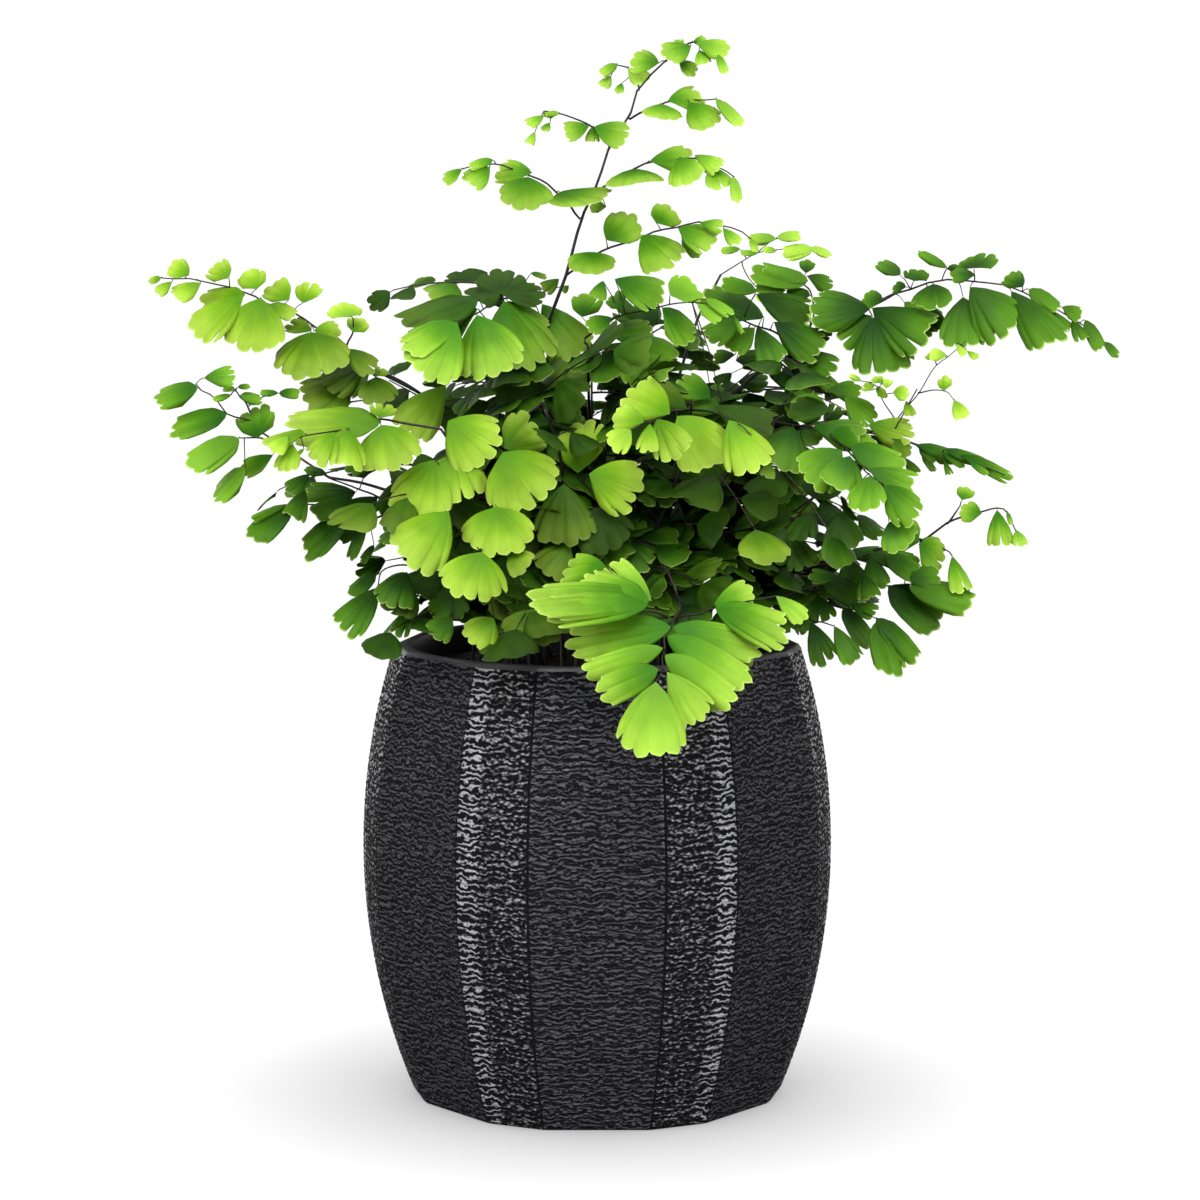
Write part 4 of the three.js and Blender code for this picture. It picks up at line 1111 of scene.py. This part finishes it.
pot = {
    "height": 145.0,
    "belly": 75.0,  # radius of the upright edges at their widest, and the height of that
    "bellyHeight": 80.0,
    "arc": 208.0,  # radius of the curve that those edges follow
    "pairs": 7,  # of a wide and a narrow facet
    "wideHalf": 16.3,  # degrees
    "wideColumns": 24,
    "narrowColumns": 14,
    "spacing": 1.6,  # about what two columns are apart
    "rows": 300,
    "opening": 59.5,
    "wall": 4.0,
    "lip": 12.0,
    "floor": 6.0,
    "insideRings": 12,
    "rim": 1.3,  # height of the smooth band under the rim
    "rimRound": ((0.05, 0.7), (0.3, 0.25), (0.8, 0.0)),  # how far in and down its outer edge is
    "lipRound": ((0.8, 0.0), (0.25, 0.25), (0.0, 0.8)),  # how far out and down its inner edge is
    "foot": (0.7, 1.0),  # how far the foot is drawn in, and over what height
    "groove": 0.45,  # depth between two facets
    "grooveWidth": 0.6,  # to each side
    "sideGroove": 0.4,  # share of that depth away from the front facet
    # The lit band is a painted highlight on a narrow facet's side away from the front
    "litBand": 0.3,  # share of a narrow facet that its brighter band takes
    "relief": 0.2,  # height of a ridge, and the share of it that lies in the facet's own plane
    "level": 0.3,
    "seed": 11,
    "ridges": ((1.5, 5.5), (1.9, 3.4), (22, 22)),  # height and length of wrinkles, pebbles and patches
    "widePebbles": (0.15, 0.12),  # share of pebbles on a wide facet, and how patches change it
    # this share also marks the painted highlight band for the colour
    "bandPebbles": 1.0,
    "narrowPebbles": 0.7,
    "fade": 1.5,  # how far from the rim and the foot the relief is whole, and how far from a groove
    "grooveFade": 1.6,
    "bulge": 0.5,  # of the narrow facets, and the height from which it is whole
    "bulgeFrom": 30,
}
ridgeLook = {
    "lengthShare": 0.55,  # how much a wave's length counts beside its height
    "spread": 0.34,  # how far from the wanted size a wave may be
    "finest": 1.6,  # how many waves there may be in the wanted length
    "steep": 1.3,  # how flat the ridges' tops are
}


def edgeRadius(z):  # radius of the pot's upright edges, an arc of a large circle
    return pot["belly"] - (pot["arc"] - np.sqrt(pot["arc"] ** 2 - (z - pot["bellyHeight"]) ** 2))


def insideRadius(z):  # of the pot's inside, which narrows to the round opening over the lip's height
    lip = np.clip((z - pot["height"] + pot["lip"]) / pot["lip"], 0, 1)
    facet = edgeRadius(np.minimum(z, pot["height"] - pot["lip"]))
    return mixed(math.cos(math.radians(pot["wideHalf"])) * facet - pot["wall"], pot["opening"], lip)


# Random ridges on a grid that closes round the pot: noise, kept only where its waves have the wanted
# height and length, and then bent so that ridges are round and the valleys between them sharp
def ridges(columns, spacingUp, height, length, draw):
    noise = np.fft.fft2(draw.normal(size=(columns, pot["rows"])))
    across = np.abs(np.fft.fftfreq(columns, pot["spacing"]))[:, None] * length
    upwards = np.abs(np.fft.fftfreq(pot["rows"], spacingUp))[None] * height
    size = np.hypot(across * ridgeLook["lengthShare"], upwards)
    keep = np.exp(-((size - 1) / ridgeLook["spread"]) ** 2) * np.exp(-(across / ridgeLook["finest"]) ** 2)
    waves = np.fft.ifft2(noise * keep).real
    waves = waves / waves.std()
    return np.tanh(ridgeLook["steep"] * waves)


# The columns of points round the pot. Each has the angles of its facet's two edges, its share of the way
# between them, the facet's width, whether that is a wide one, whether the column is in a narrow one's
# brighter band, a painted highlight on the side away from the front, and how deep the groove is there
def potColumns():
    columns = []
    front = (-90 - pot["wideHalf"], -90 + pot["wideHalf"])
    for pair in range(pot["pairs"]):
        middle = -90 + pair * 360 / pot["pairs"]
        wideStart, wideEnd = middle - pot["wideHalf"], middle + pot["wideHalf"]
        narrowEnd = middle + 360 / pot["pairs"] - pot["wideHalf"]
        for start, end, isWide in ((wideStart, wideEnd, True), (wideEnd, narrowEnd, False)):
            count = pot["wideColumns" if isWide else "narrowColumns"]
            width = 2 * pot["belly"] * math.sin(math.radians(end - start) / 2)
            beside = pot["grooveWidth"] / width
            share = np.append(0, np.linspace(beside, 1 - beside, count - 1))
            # The lit band, a painted highlight, lies on the side of each narrow facet away from the front;
            # the narrow facet at the back has none
            outer = share > 1 - pot["litBand"] if pair < 3 else share < pot["litBand"]
            inLitBand = outer & (not isWide) & (pair != 3)
            groove = (np.arange(count) == 0) * (1.0 if start in front else pot["sideGroove"])
            facet = np.broadcast_to([start, end, width, isWide], (count, 4))
            columns.append(np.column_stack([facet, share, inLitBand, groove]))
    start, end, width, isWide, share, inLitBand, groove = np.concatenate(columns).T
    return np.radians(np.stack([start, end], -1)), share, width, isWide > 0, inLitBand > 0, groove


# How far the outer wall stands out at each column and height, and the share of pebbles there. It is the
# mix of wrinkles and pebbles by that share, fading out to rim, foot and grooves, less the groove's depth,
# plus bulge * 4 * share * (1 - share) across a narrow facet
def potRelief(z, shares, widths, isWide, inLitBand, grooves):
    draw = np.random.default_rng(pot["seed"])
    coarse, pebbles, patches = (ridges(len(shares), z[1], *size, draw) for size in pot["ridges"])
    least, patchy = pot["widePebbles"]
    narrowShare = np.where(inLitBand, pot["bandPebbles"], pot["narrowPebbles"])
    pebbly = np.where(isWide[:, None], least + patchy * patches, narrowShare[:, None])
    field = mixed(coarse, pebbles, np.clip(pebbly, 0, 1))
    toEdge = np.minimum(shares, 1 - shares) * widths
    underRim = np.clip((z[-1] - z) / pot["fade"], 0, 1)
    fade = np.clip(toEdge / pot["grooveFade"], 0, 1)[:, None] * underRim * np.clip(z / pot["fade"], 0, 1)
    height = pot["relief"] * (field - pot["level"]) * fade - pot["groove"] * grooves[:, None] * underRim
    bulge = pot["bulge"] * (~isWide) * 4 * shares * (1 - shares)
    return height + bulge[:, None] * np.clip(z / pot["bulgeFrom"], 0, 1), pebbly


# The pot: a point of the outer wall stands at its column's share of a flat facet, from edge to edge of
# the barrel, and is moved along the facet's outward direction by the relief. Rim, inside and floor follow
# from the same columns as rings of a smaller radius
def makePot(material, rimMaterial):
    angles, shares, *looks = potColumns()
    columns = len(shares)
    flat = np.stack([np.cos(angles), np.sin(angles)], -1)  # both edges of each column's facet
    ring = flat[:, 0] * (1 - shares[:, None]) + flat[:, 1] * shares[:, None]
    outward = unit(flat.sum(1))
    z = np.linspace(0, pot["height"] - pot["rim"], pot["rows"])
    height, pebbly = potRelief(z, shares, *looks)
    drawnIn, footHeight = pot["foot"]
    radius = edgeRadius(z) - drawnIn * np.clip(1 - z / footHeight, 0, 1)
    wall = ring[:, None] * radius[:, None] + outward[:, None] * height[..., None]
    wall = np.concatenate([wall, np.broadcast_to(z[None, :, None], (columns, len(z), 1))], -1)
    top, turned = edgeRadius(pot["height"]), unit(ring)
    deep = np.linspace(pot["height"], pot["floor"], pot["insideRings"])[1:]
    rings = [(ring * (top - inwards), pot["height"] - down) for inwards, down in pot["rimRound"]]
    rings += [(turned * (pot["opening"] + out), pot["height"] - down) for out, down in pot["lipRound"]]
    rings += [(turned * r, level) for r, level in zip(insideRadius(deep), deep)]
    rest = np.stack([np.column_stack([flatRing, np.full(columns, level)]) for flatRing, level in rings], 1)
    grid = np.concatenate([wall, rest], 1)
    points = np.concatenate([grid.reshape(-1, 3), [[0, 0, pot["floor"]], [0, 0, 0]]])
    index = np.arange(columns * grid.shape[1]).reshape(columns, -1)
    right = np.roll(index, -1, 0)
    walls = np.stack([index[:, :-1], right[:, :-1], right[:, 1:], index[:, 1:]], -1)
    rough, smooth = walls[:, :len(z) - 1], walls[:, len(z) - 1:]
    floor = np.stack([index[:, -1], right[:, -1], np.full(columns, len(points) - 2)], -1)
    base = np.stack([right[:, 0], index[:, 0], np.full(columns, len(points) - 1)], -1)

    def overAll(values):  # a value for each point of the outer wall, and an even one for the rest
        values = np.broadcast_to(values, height.shape)
        even = np.full((columns, len(rings)), 0.5)
        return np.append(np.concatenate([values, even], 1).ravel(), [0.5, 0.5])

    # relief marks the grooves, where the colour stays at the painted shade of the valleys; tone is the share
    # of pebbles, which also marks the painted highlight bands
    relief, tone = overAll(0.5 * (1 - looks[-1][:, None])), overAll(pebbly)
    # The smooth faces have no points of their own: they count back into those of the rough wall
    shared = [faces - len(points) for faces in (smooth.reshape(-1, 4), floor, base)]
    piece = makePiece("pot_shell", [
        {"points": points, "faces": [rough.reshape(-1, 4)], "material": 0, "relief": relief, "tone": tone},
        {"points": points[:0], "faces": shared, "material": 1, "relief": relief[:0], "tone": tone[:0]},
    ], [material, rimMaterial])
    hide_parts("pot")


soil = {
    "seed": 5,
    "top": 136.0,
    "dome": 1.5,
    "sides": 96,
    "rings": 34,
    "reach": 0.6,  # beyond the pot's opening
    "room": 0.3,  # to the pot's wall and floor
    "wallTop": 3,  # below the soil's top
    "wallRings": 6,
    "lumps": (17, 9, 5, 3.1, 2.2),  # their widths
    "lumpHeight": 0.02,  # share of the width
    "wavesEach": 5,
    "crumbs": 900,
    "crumbSize": (0.5, 1.7),
    "crumbCorner": (0.6, 0.16),  # where a crumb's corners are on average, and how they vary
    "crumbShape": (1, 1, 0.7),
}


# The soil: rings from the middle to the wall, lifted by a few waves of random direction, and then down
# the wall to the floor
def makeSoil(material):
    draw = np.random.default_rng(soil["seed"])
    sides, count, bottom = soil["sides"], soil["rings"], pot["floor"] + soil["room"]
    angle = np.linspace(0, 2 * np.pi, sides, endpoint=False)
    radius = np.linspace(0, 1, count + 1)[1:] * (pot["opening"] + soil["reach"])
    flat = np.stack([np.cos(angle), np.sin(angle)], -1)[:, None] * radius[:, None]
    lumps = np.zeros((sides, count))
    for size in soil["lumps"]:
        for _ in range(soil["wavesEach"]):
            way = draw.normal(size=2)
            phase = flat @ way * roundTurn / size / np.linalg.norm(way) + draw.uniform(0, roundTurn)
            lumps += size * soil["lumpHeight"] * np.sin(phase)
    level = soil["top"] + soil["dome"] * (1 - (radius / radius[-1]) ** 2) + lumps
    surface = np.concatenate([flat, level[..., None]], -1)
    deep = np.linspace(soil["top"] - soil["wallTop"], bottom, soil["wallRings"])
    wall = flat[:, -1:] / radius[-1] * (insideRadius(deep) - soil["room"])[:, None]
    wall = np.concatenate([wall, np.broadcast_to(deep[None, :, None], (sides, len(deep), 1))], -1)
    grid = np.concatenate([surface, wall], 1)
    middles = [[0, 0, soil["top"] + soil["dome"]], [0, 0, bottom]]
    points = np.concatenate([grid.reshape(-1, 3), middles])
    index = np.arange(sides * grid.shape[1]).reshape(sides, -1)
    right = np.roll(index, -1, 0)
    walls = np.stack([index[:, :-1], index[:, 1:], right[:, 1:], right[:, :-1]], -1).reshape(-1, 4)
    top = np.stack([np.full(sides, len(points) - 2), index[:, 0], right[:, 0]], -1)
    base = np.stack([np.full(sides, len(points) - 1), right[:, -1], index[:, -1]], -1)
    parts = [{"points": points, "faces": [walls, top, base], "material": 0}, crumbs(draw, surface)]
    piece = makePiece("soil_bed", parts, [material])
    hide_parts("soil")


# Crumbs: eight-cornered lumps, their corners pushed in and out at random, half sunk in the soil
def crumbs(draw, surface):
    number = soil["crumbs"]
    places = surface.shape[0] * (surface.shape[1] - 2)
    spots = surface.reshape(-1, 3)[draw.integers(0, places, number)]
    corner, spread = soil["crumbCorner"]
    corners = np.array([[x, y, z] for x in (-1, 1) for y in (-1, 1) for z in (-1, 1)]) * corner
    size = draw.uniform(*soil["crumbSize"], (number, 1, 1))
    lumps = (corners + draw.normal(0, spread, (number, 8, 3))) * size * soil["crumbShape"]
    faces = np.array([[0, 1, 3, 2], [4, 6, 7, 5], [0, 4, 5, 1], [2, 3, 7, 6], [0, 2, 6, 4], [1, 5, 7, 3]])
    points = (spots[:, None] + lumps).reshape(-1, 3)
    return {"points": points, "faces": [copied(faces, number, 8)], "material": 0}


greens = {  # colour at the foot, in the middle, at the margin and of the light that comes through
    "lime": ((0.29, 0.48, 0.04), (0.47, 0.63, 0.10), (0.66, 0.76, 0.30), (0.51, 0.66, 0.12)),
    "fresh": ((0.20, 0.42, 0.04), (0.39, 0.59, 0.09), (0.63, 0.75, 0.28), (0.46, 0.64, 0.11)),
    "mid": ((0.12, 0.31, 0.03), (0.27, 0.47, 0.05), (0.46, 0.63, 0.17), (0.34, 0.52, 0.07)),
    "deep": ((0.07, 0.19, 0.02), (0.17, 0.34, 0.03), (0.33, 0.50, 0.10), (0.23, 0.40, 0.04)),
}
leafLook = {
    "veins": 46,  # across a half circle
    "folds": 7,
    "blotches": 150.0,
    "edge": (0.76, 0.85, 0.46),  # colour of the last bit of the margin, and of a leaflet in the shade
    "shaded": (0.17, 0.32, 0.02),
    "translucence": 0.3,
    "roughness": 0.43,
    "shine": 0.1,
    "relief": (0.2, 0.0001),  # strength and metres
}


# A blade's colour goes from foot to margin along v, with a fine pale edge. Its tone makes the whole
# darker or lighter: it holds the leaflet's own lightness and painted light and shade, and a low tone turns
# it to the colour of a leaflet in the shade, as painted shade. Blotches and the veins that fan out from
# the foot make it darker or lighter too, and so do the soft folds, as stripes of painted shade
def leafMaterial(name, colors):
    material, graph = newMaterial(f"leaf_{name}")
    foot, middle, margin, through = (shade(*color) for color in colors)
    place = graph.add("ShaderNodeUVMap", {"uv_map": "surface"})
    across = graph.add("ShaderNodeSeparateXYZ", None, {0: place})
    along = Wire(graph, across.socket.node.outputs[1])
    tone = graph.attribute("tone")
    blotch = graph.noise(leafLook["blotches"], 3.0)
    veins = ((across * (2 * math.pi * leafLook["veins"])) + blotch * 2.0).sine()
    folds = ((across * (2 * math.pi * leafLook["folds"])) + tone * 20.0).sine()
    color = graph.mixColor(along.band(0.05, 0.8), foot, middle)
    color = graph.mixColor(along.band(0.45, 1.02) * 0.55, color, margin)
    color = graph.mixColor(along.band(0.955, 0.999) * 0.5, color, shade(*leafLook["edge"]))
    # Painted shade: a low tone turns the leaflet to the colour of a leaflet in the shade
    color = graph.mixColor(tone.band(-0.1, 0.42), shade(*leafLook["shaded"]), color)
    color = graph.mixColor(tone.band(0.55, 1.3) * 0.8, color, margin)
    # The folds paint stripes of painted shade across the blade; blotches and veins vary its own colour
    light = (tone - 0.5) + (blotch - 0.5) * 0.6 + veins * 0.02 + folds * 0.02 + 0.95
    color = graph.add("ShaderNodeHueSaturation", None, {"Color": color, "Value": light})
    normal = graph.bump(veins * 0.2 + folds * 0.3, *leafLook["relief"])
    rough = blotch * 0.15 + leafLook["roughness"]
    gloss = graph.principled(color, rough, normal, {"Specular IOR Level": leafLook["shine"]})
    glow = graph.add("ShaderNodeBsdfTranslucent", None, {"Color": through})
    share = (tone * 0.5 + 0.6) * leafLook["translucence"]
    graph.surface(graph.add("ShaderNodeMixShader", None, {0: share, 1: gloss, 2: glow}))
    return material


plainLooks = {  # grain in a metre and its detail, dark and light colour, roughness, relief and shine
    "stem_black": (900.0, 2.0, (0.06, 0.04, 0.035), (0.17, 0.13, 0.07), 0.38, (0.2, 0.0001), 0.3),
    "pot_rim": (900.0, 4.0, (0.13, 0.13, 0.14), (0.2, 0.2, 0.21), 0.38, (0.25, 0.0002), 0.5),
    "soil_dark": (500.0, 6.0, (0.05, 0.04, 0.03), (0.19, 0.14, 0.10), 0.75, (0.9, 0.001), 0.5),
}


# A material whose colour, roughness and relief follow one grain. On stems the tone counts more, so that
# they are black and the finest stalks brown
def plainMaterial(name, toned=False):
    scale, detail, dark, light, roughness, relief, shine = plainLooks[name]
    material, graph = newMaterial(name)
    grain = graph.noise(scale, detail)
    share = (graph.attribute("tone") * 0.8 + grain * 0.3 - 0.15).within() if toned else grain
    color = graph.mixColor(share, shade(*dark), shade(*light))
    rough = grain * 0.2 + roughness
    shader = graph.principled(color, rough, graph.bump(grain, *relief), {"Specular IOR Level": shine})
    graph.surface(shader)
    return material


potLook = {
    # The charcoal pot's colours: painted highlight on the crests, lighter on the narrow facets, and painted
    # shade in the valleys and grooves
    "crest": (0.235, 0.235, 0.255),
    "narrowCrest": (0.275, 0.275, 0.29),
    "paintedGlint": (0.53, 0.53, 0.54),  # on the highest crests of the narrow facets
    "valley": (0.042, 0.042, 0.048),
    "roughness": (0.9, 0.55),  # in the valleys and on the ridges
    "shine": 0.1,
    "gloss": 0.6,  # of the coat, which lies on the ridges only, and the coat's roughness
    "glossRoughness": 0.38,
    "rows": (0.0021, 10.0, 1.5),  # from ridge to ridge, how far they leave their level and how often
    "wrinkles": (0.0013, 11.0, 1.2),
    "knots": (640.0, 1.5),  # bumps in a metre along a ridge, and how much flatter than wide they are
    "knotFall": 2.6,
    "ragged": 420.0,  # scales of the noise that frays the bright bands and of the finest wrinkles
    "fine": 1100.0,
    "depth": (0.0009, 0.0014),  # of the relief, on the wide and on the narrow facets
}


# Wrinkled like leather: wavy ridges that run level round the pot, broken into bumps. On the wide facets
# the ridge counts for more, on the narrow ones the bump. The height is the sine of the level, pushed up
# and down by noise, plus a rounded cell that falls with the square of the distance from its middle. The
# colour rises with the height from painted shade in the valleys and grooves to painted highlight on the
# crests, lighter on the narrow facets, and there to thin painted glints above it, brightest in the painted
# highlight band on the side away from the front
def potMaterial():
    material, graph = newMaterial("pot_wrinkled")
    relief = graph.attribute("relief")
    pebbly = graph.attribute("tone")
    inSpace = graph.place()

    def ridgesAt(apart, wander, often):
        settings = {"wave_type": "BANDS", "bands_direction": "Z", "wave_profile": "SIN"}
        return graph.add("ShaderNodeTexWave", settings, {
            "Vector": inSpace, "Scale": math.pi / 10 / apart, "Distortion": wander,
            "Detail": 2.0, "Detail Scale": often, "Detail Roughness": 0.6}, 1)

    rows, wrinkles = ridgesAt(*potLook["rows"]), ridgesAt(*potLook["wrinkles"])
    perMetre, flatter = potLook["knots"]
    placed = graph.add("ShaderNodeMapping", None, {
        "Vector": inSpace, "Scale": (perMetre, perMetre, perMetre * flatter)})
    near = graph.add("ShaderNodeTexVoronoi", None, {"Vector": placed, "Scale": 1.0, "Randomness": 0.9})
    knot = (1.0 - near * near * potLook["knotFall"]).within()
    ragged = graph.noise(potLook["ragged"], 1.0)
    fine = graph.noise(potLook["fine"], 2.0)
    # The lit band: a painted highlight on each narrow facet's side away from the front, frayed by noise
    inLitBand = (pebbly + ragged * 0.2 - 0.1).band(0.66, 0.98)
    narrow = pebbly.band(0.3, 0.6)
    share = narrow * (1 - inLitBand)
    height = (rows * (0.38 + inLitBand * 0.2) + wrinkles * (0.32 - share * 0.2 - inLitBand * 0.14)
              + knot * (share * 0.32 + 0.06) + fine * (0.24 - share * 0.12))
    # Painted shade in the grooves: there the colour stays at the valley's, and no glint shows
    inGroove = relief.band(0.3, 0.48)
    crest = height.band(0.38, 0.78) * inGroove
    # Painted glints on the highest crests of the narrow facets, brighter in the lit band
    paintedGlint = (height + inLitBand * 0.05).band(0.64, 0.84) * narrow * inGroove
    # Painted light: the narrow facets' crests are painted lighter, as the side lamps light them
    raised = graph.mixColor(narrow, shade(*potLook["crest"]), shade(*potLook["narrowCrest"]))
    # Painted shade in the valleys, painted highlight on the crests
    color = graph.mixColor(crest, shade(*potLook["valley"]), raised)
    color = graph.mixColor(paintedGlint * (inLitBand * 0.4 + 0.6), color, shade(*potLook["paintedGlint"]))
    low, high = potLook["roughness"]
    rough = crest * (high - low) + low + fine * 0.1 - 0.05
    wideDepth, narrowDepth = potLook["depth"]
    depth = wideDepth * (1 - share) + narrowDepth * share
    graph.surface(graph.principled(color, rough, graph.bump(height * depth, 1.0, 1.0), {
        "Specular IOR Level": potLook["shine"], "Coat Weight": crest * potLook["gloss"],
        "Coat Roughness": potLook["glossRoughness"]}))
    return material


studio = {
    "floorWhite": 1.06,
    "floorShadow": 0.22,  # what is left of that where something stands close by
    "shadowReach": 0.075,
    "floorBounce": 0.12,  # its colour for the light that it throws back on the pot
    "floorHalf": 4.0,  # metres
    "worldSeen": 1.05,
    "worldLight": 0.12,
    "aim": (0, 0, 0.17),  # where the lamps point, in metres
}
lights = {  # place in metres, width and height, power in watts
    "leftBox": ((-0.9, -0.92, 0.45), (0.45, 1.1), 16.0),
    "rightBox": ((0.9, -0.92, 0.45), (0.45, 1.1), 15.0),
    "topBox": ((0.0, -1.25, 1.15), (0.9, 0.6), 29.0),
    "skyBox": ((0.0, 0.25, 1.5), (1.4, 1.0), 14.0),
    "rearLeft": ((-0.9, 1.0, 0.5), (0.3, 1.1), 7.0),
    "rearRight": ((0.9, 1.0, 0.5), (0.3, 1.1), 7.0),
}


def gray(value):  # linear, unlike a shade
    return (value, value, value, 1)


# A white floor that glows to the camera, with a soft shadow where something stands close by, and is dark
# gray to all other light
def makeFloor():
    material, graph = newMaterial("floor_white")
    seen = graph.add("ShaderNodeLightPath")
    reach = {"Distance": studio["shadowReach"]}
    openness = graph.add("ShaderNodeAmbientOcclusion", {"samples": 24}, reach, 1)
    color = graph.mixColor(openness, gray(studio["floorShadow"]), gray(studio["floorWhite"]))
    glow = graph.add("ShaderNodeBsdfPrincipled", None, {
        "Base Color": gray(0), "Specular IOR Level": 0.0, "Emission Color": color, "Emission Strength": 1.0})
    base = graph.add("ShaderNodeBsdfDiffuse", None, {"Color": gray(studio["floorBounce"])})
    graph.surface(graph.add("ShaderNodeMixShader", None, {0: seen, 1: base, 2: glow}))
    mesh = bpy.data.meshes.new("floor")
    half = studio["floorHalf"]
    corners = [(-half, -half, 0), (half, -half, 0), (half, half, 0), (-half, half, 0)]
    mesh.from_pydata(corners, [], [(0, 1, 2, 3)])
    mesh.materials.append(material)
    floor = newObject("floor", mesh)


# A world that is dim but looks white to the camera, and the lamps round the plant
def makeLight():
    world = bpy.data.worlds.new("studio")
    bpy.context.scene.world = world
    world.use_nodes = True
    sky = Graph(world.node_tree)
    seen = sky.add("ShaderNodeLightPath")
    light, backdrop = (sky.add("ShaderNodeBackground", None, {"Color": gray(1), "Strength": studio[kind]})
                       for kind in ("worldLight", "worldSeen"))
    sky.add("ShaderNodeOutputWorld", None, {
        "Surface": sky.add("ShaderNodeMixShader", None, {0: seen, 1: light, 2: backdrop})})
    for name, (place, size, power) in lights.items():
        data = bpy.data.lights.new(name, "AREA")
        data.shape = "RECTANGLE"
        data.size, data.size_y = size
        data.energy = power
        lamp = newObject(name, data)
        lamp.location = place
        lamp.rotation_euler = (Vector(studio["aim"]) - Vector(place)).to_track_quat("-Z", "Y").to_euler()
        lamp.visible_camera = False


def makeCamera():  # where the picture was taken from, with the same lens
    data = bpy.data.cameras.new("view")
    data.sensor_width = camera["sensor"]
    data.lens = camera["focal"] / camera["picture"] * camera["sensor"]
    data.clip_start, data.clip_end = camera["range"]
    view = newObject("view", data)
    view.location = [value * mm for value in camera["place"]]
    view.rotation_euler = (math.pi / 2 - camera["pitch"], 0, 0)
    bpy.context.scene.camera = view


makeCamera()
makeFloor()
makeLight()
bpy.context.scene.view_settings.view_transform = "Standard"
print("studio ready")

leafMaterials = {name: leafMaterial(name, colors) for name, colors in greens.items()}
stemBlack = plainMaterial("stem_black", toned=True)
makePot(potMaterial(), plainMaterial("pot_rim"))
makeSoil(plainMaterial("soil_dark"))
print("pot and soil made")

innerFronds = {f"inner_{i + 1}": innerFrond(i, *rule) for i, rule in enumerate(innerRules)}
for name, data in (fronds | innerFronds).items():
    makeFrond(name, data, [leafMaterials[data["green"]], stemBlack])
makeUndergrowth([leafMaterials["deep"], stemBlack])
print("fronds made")
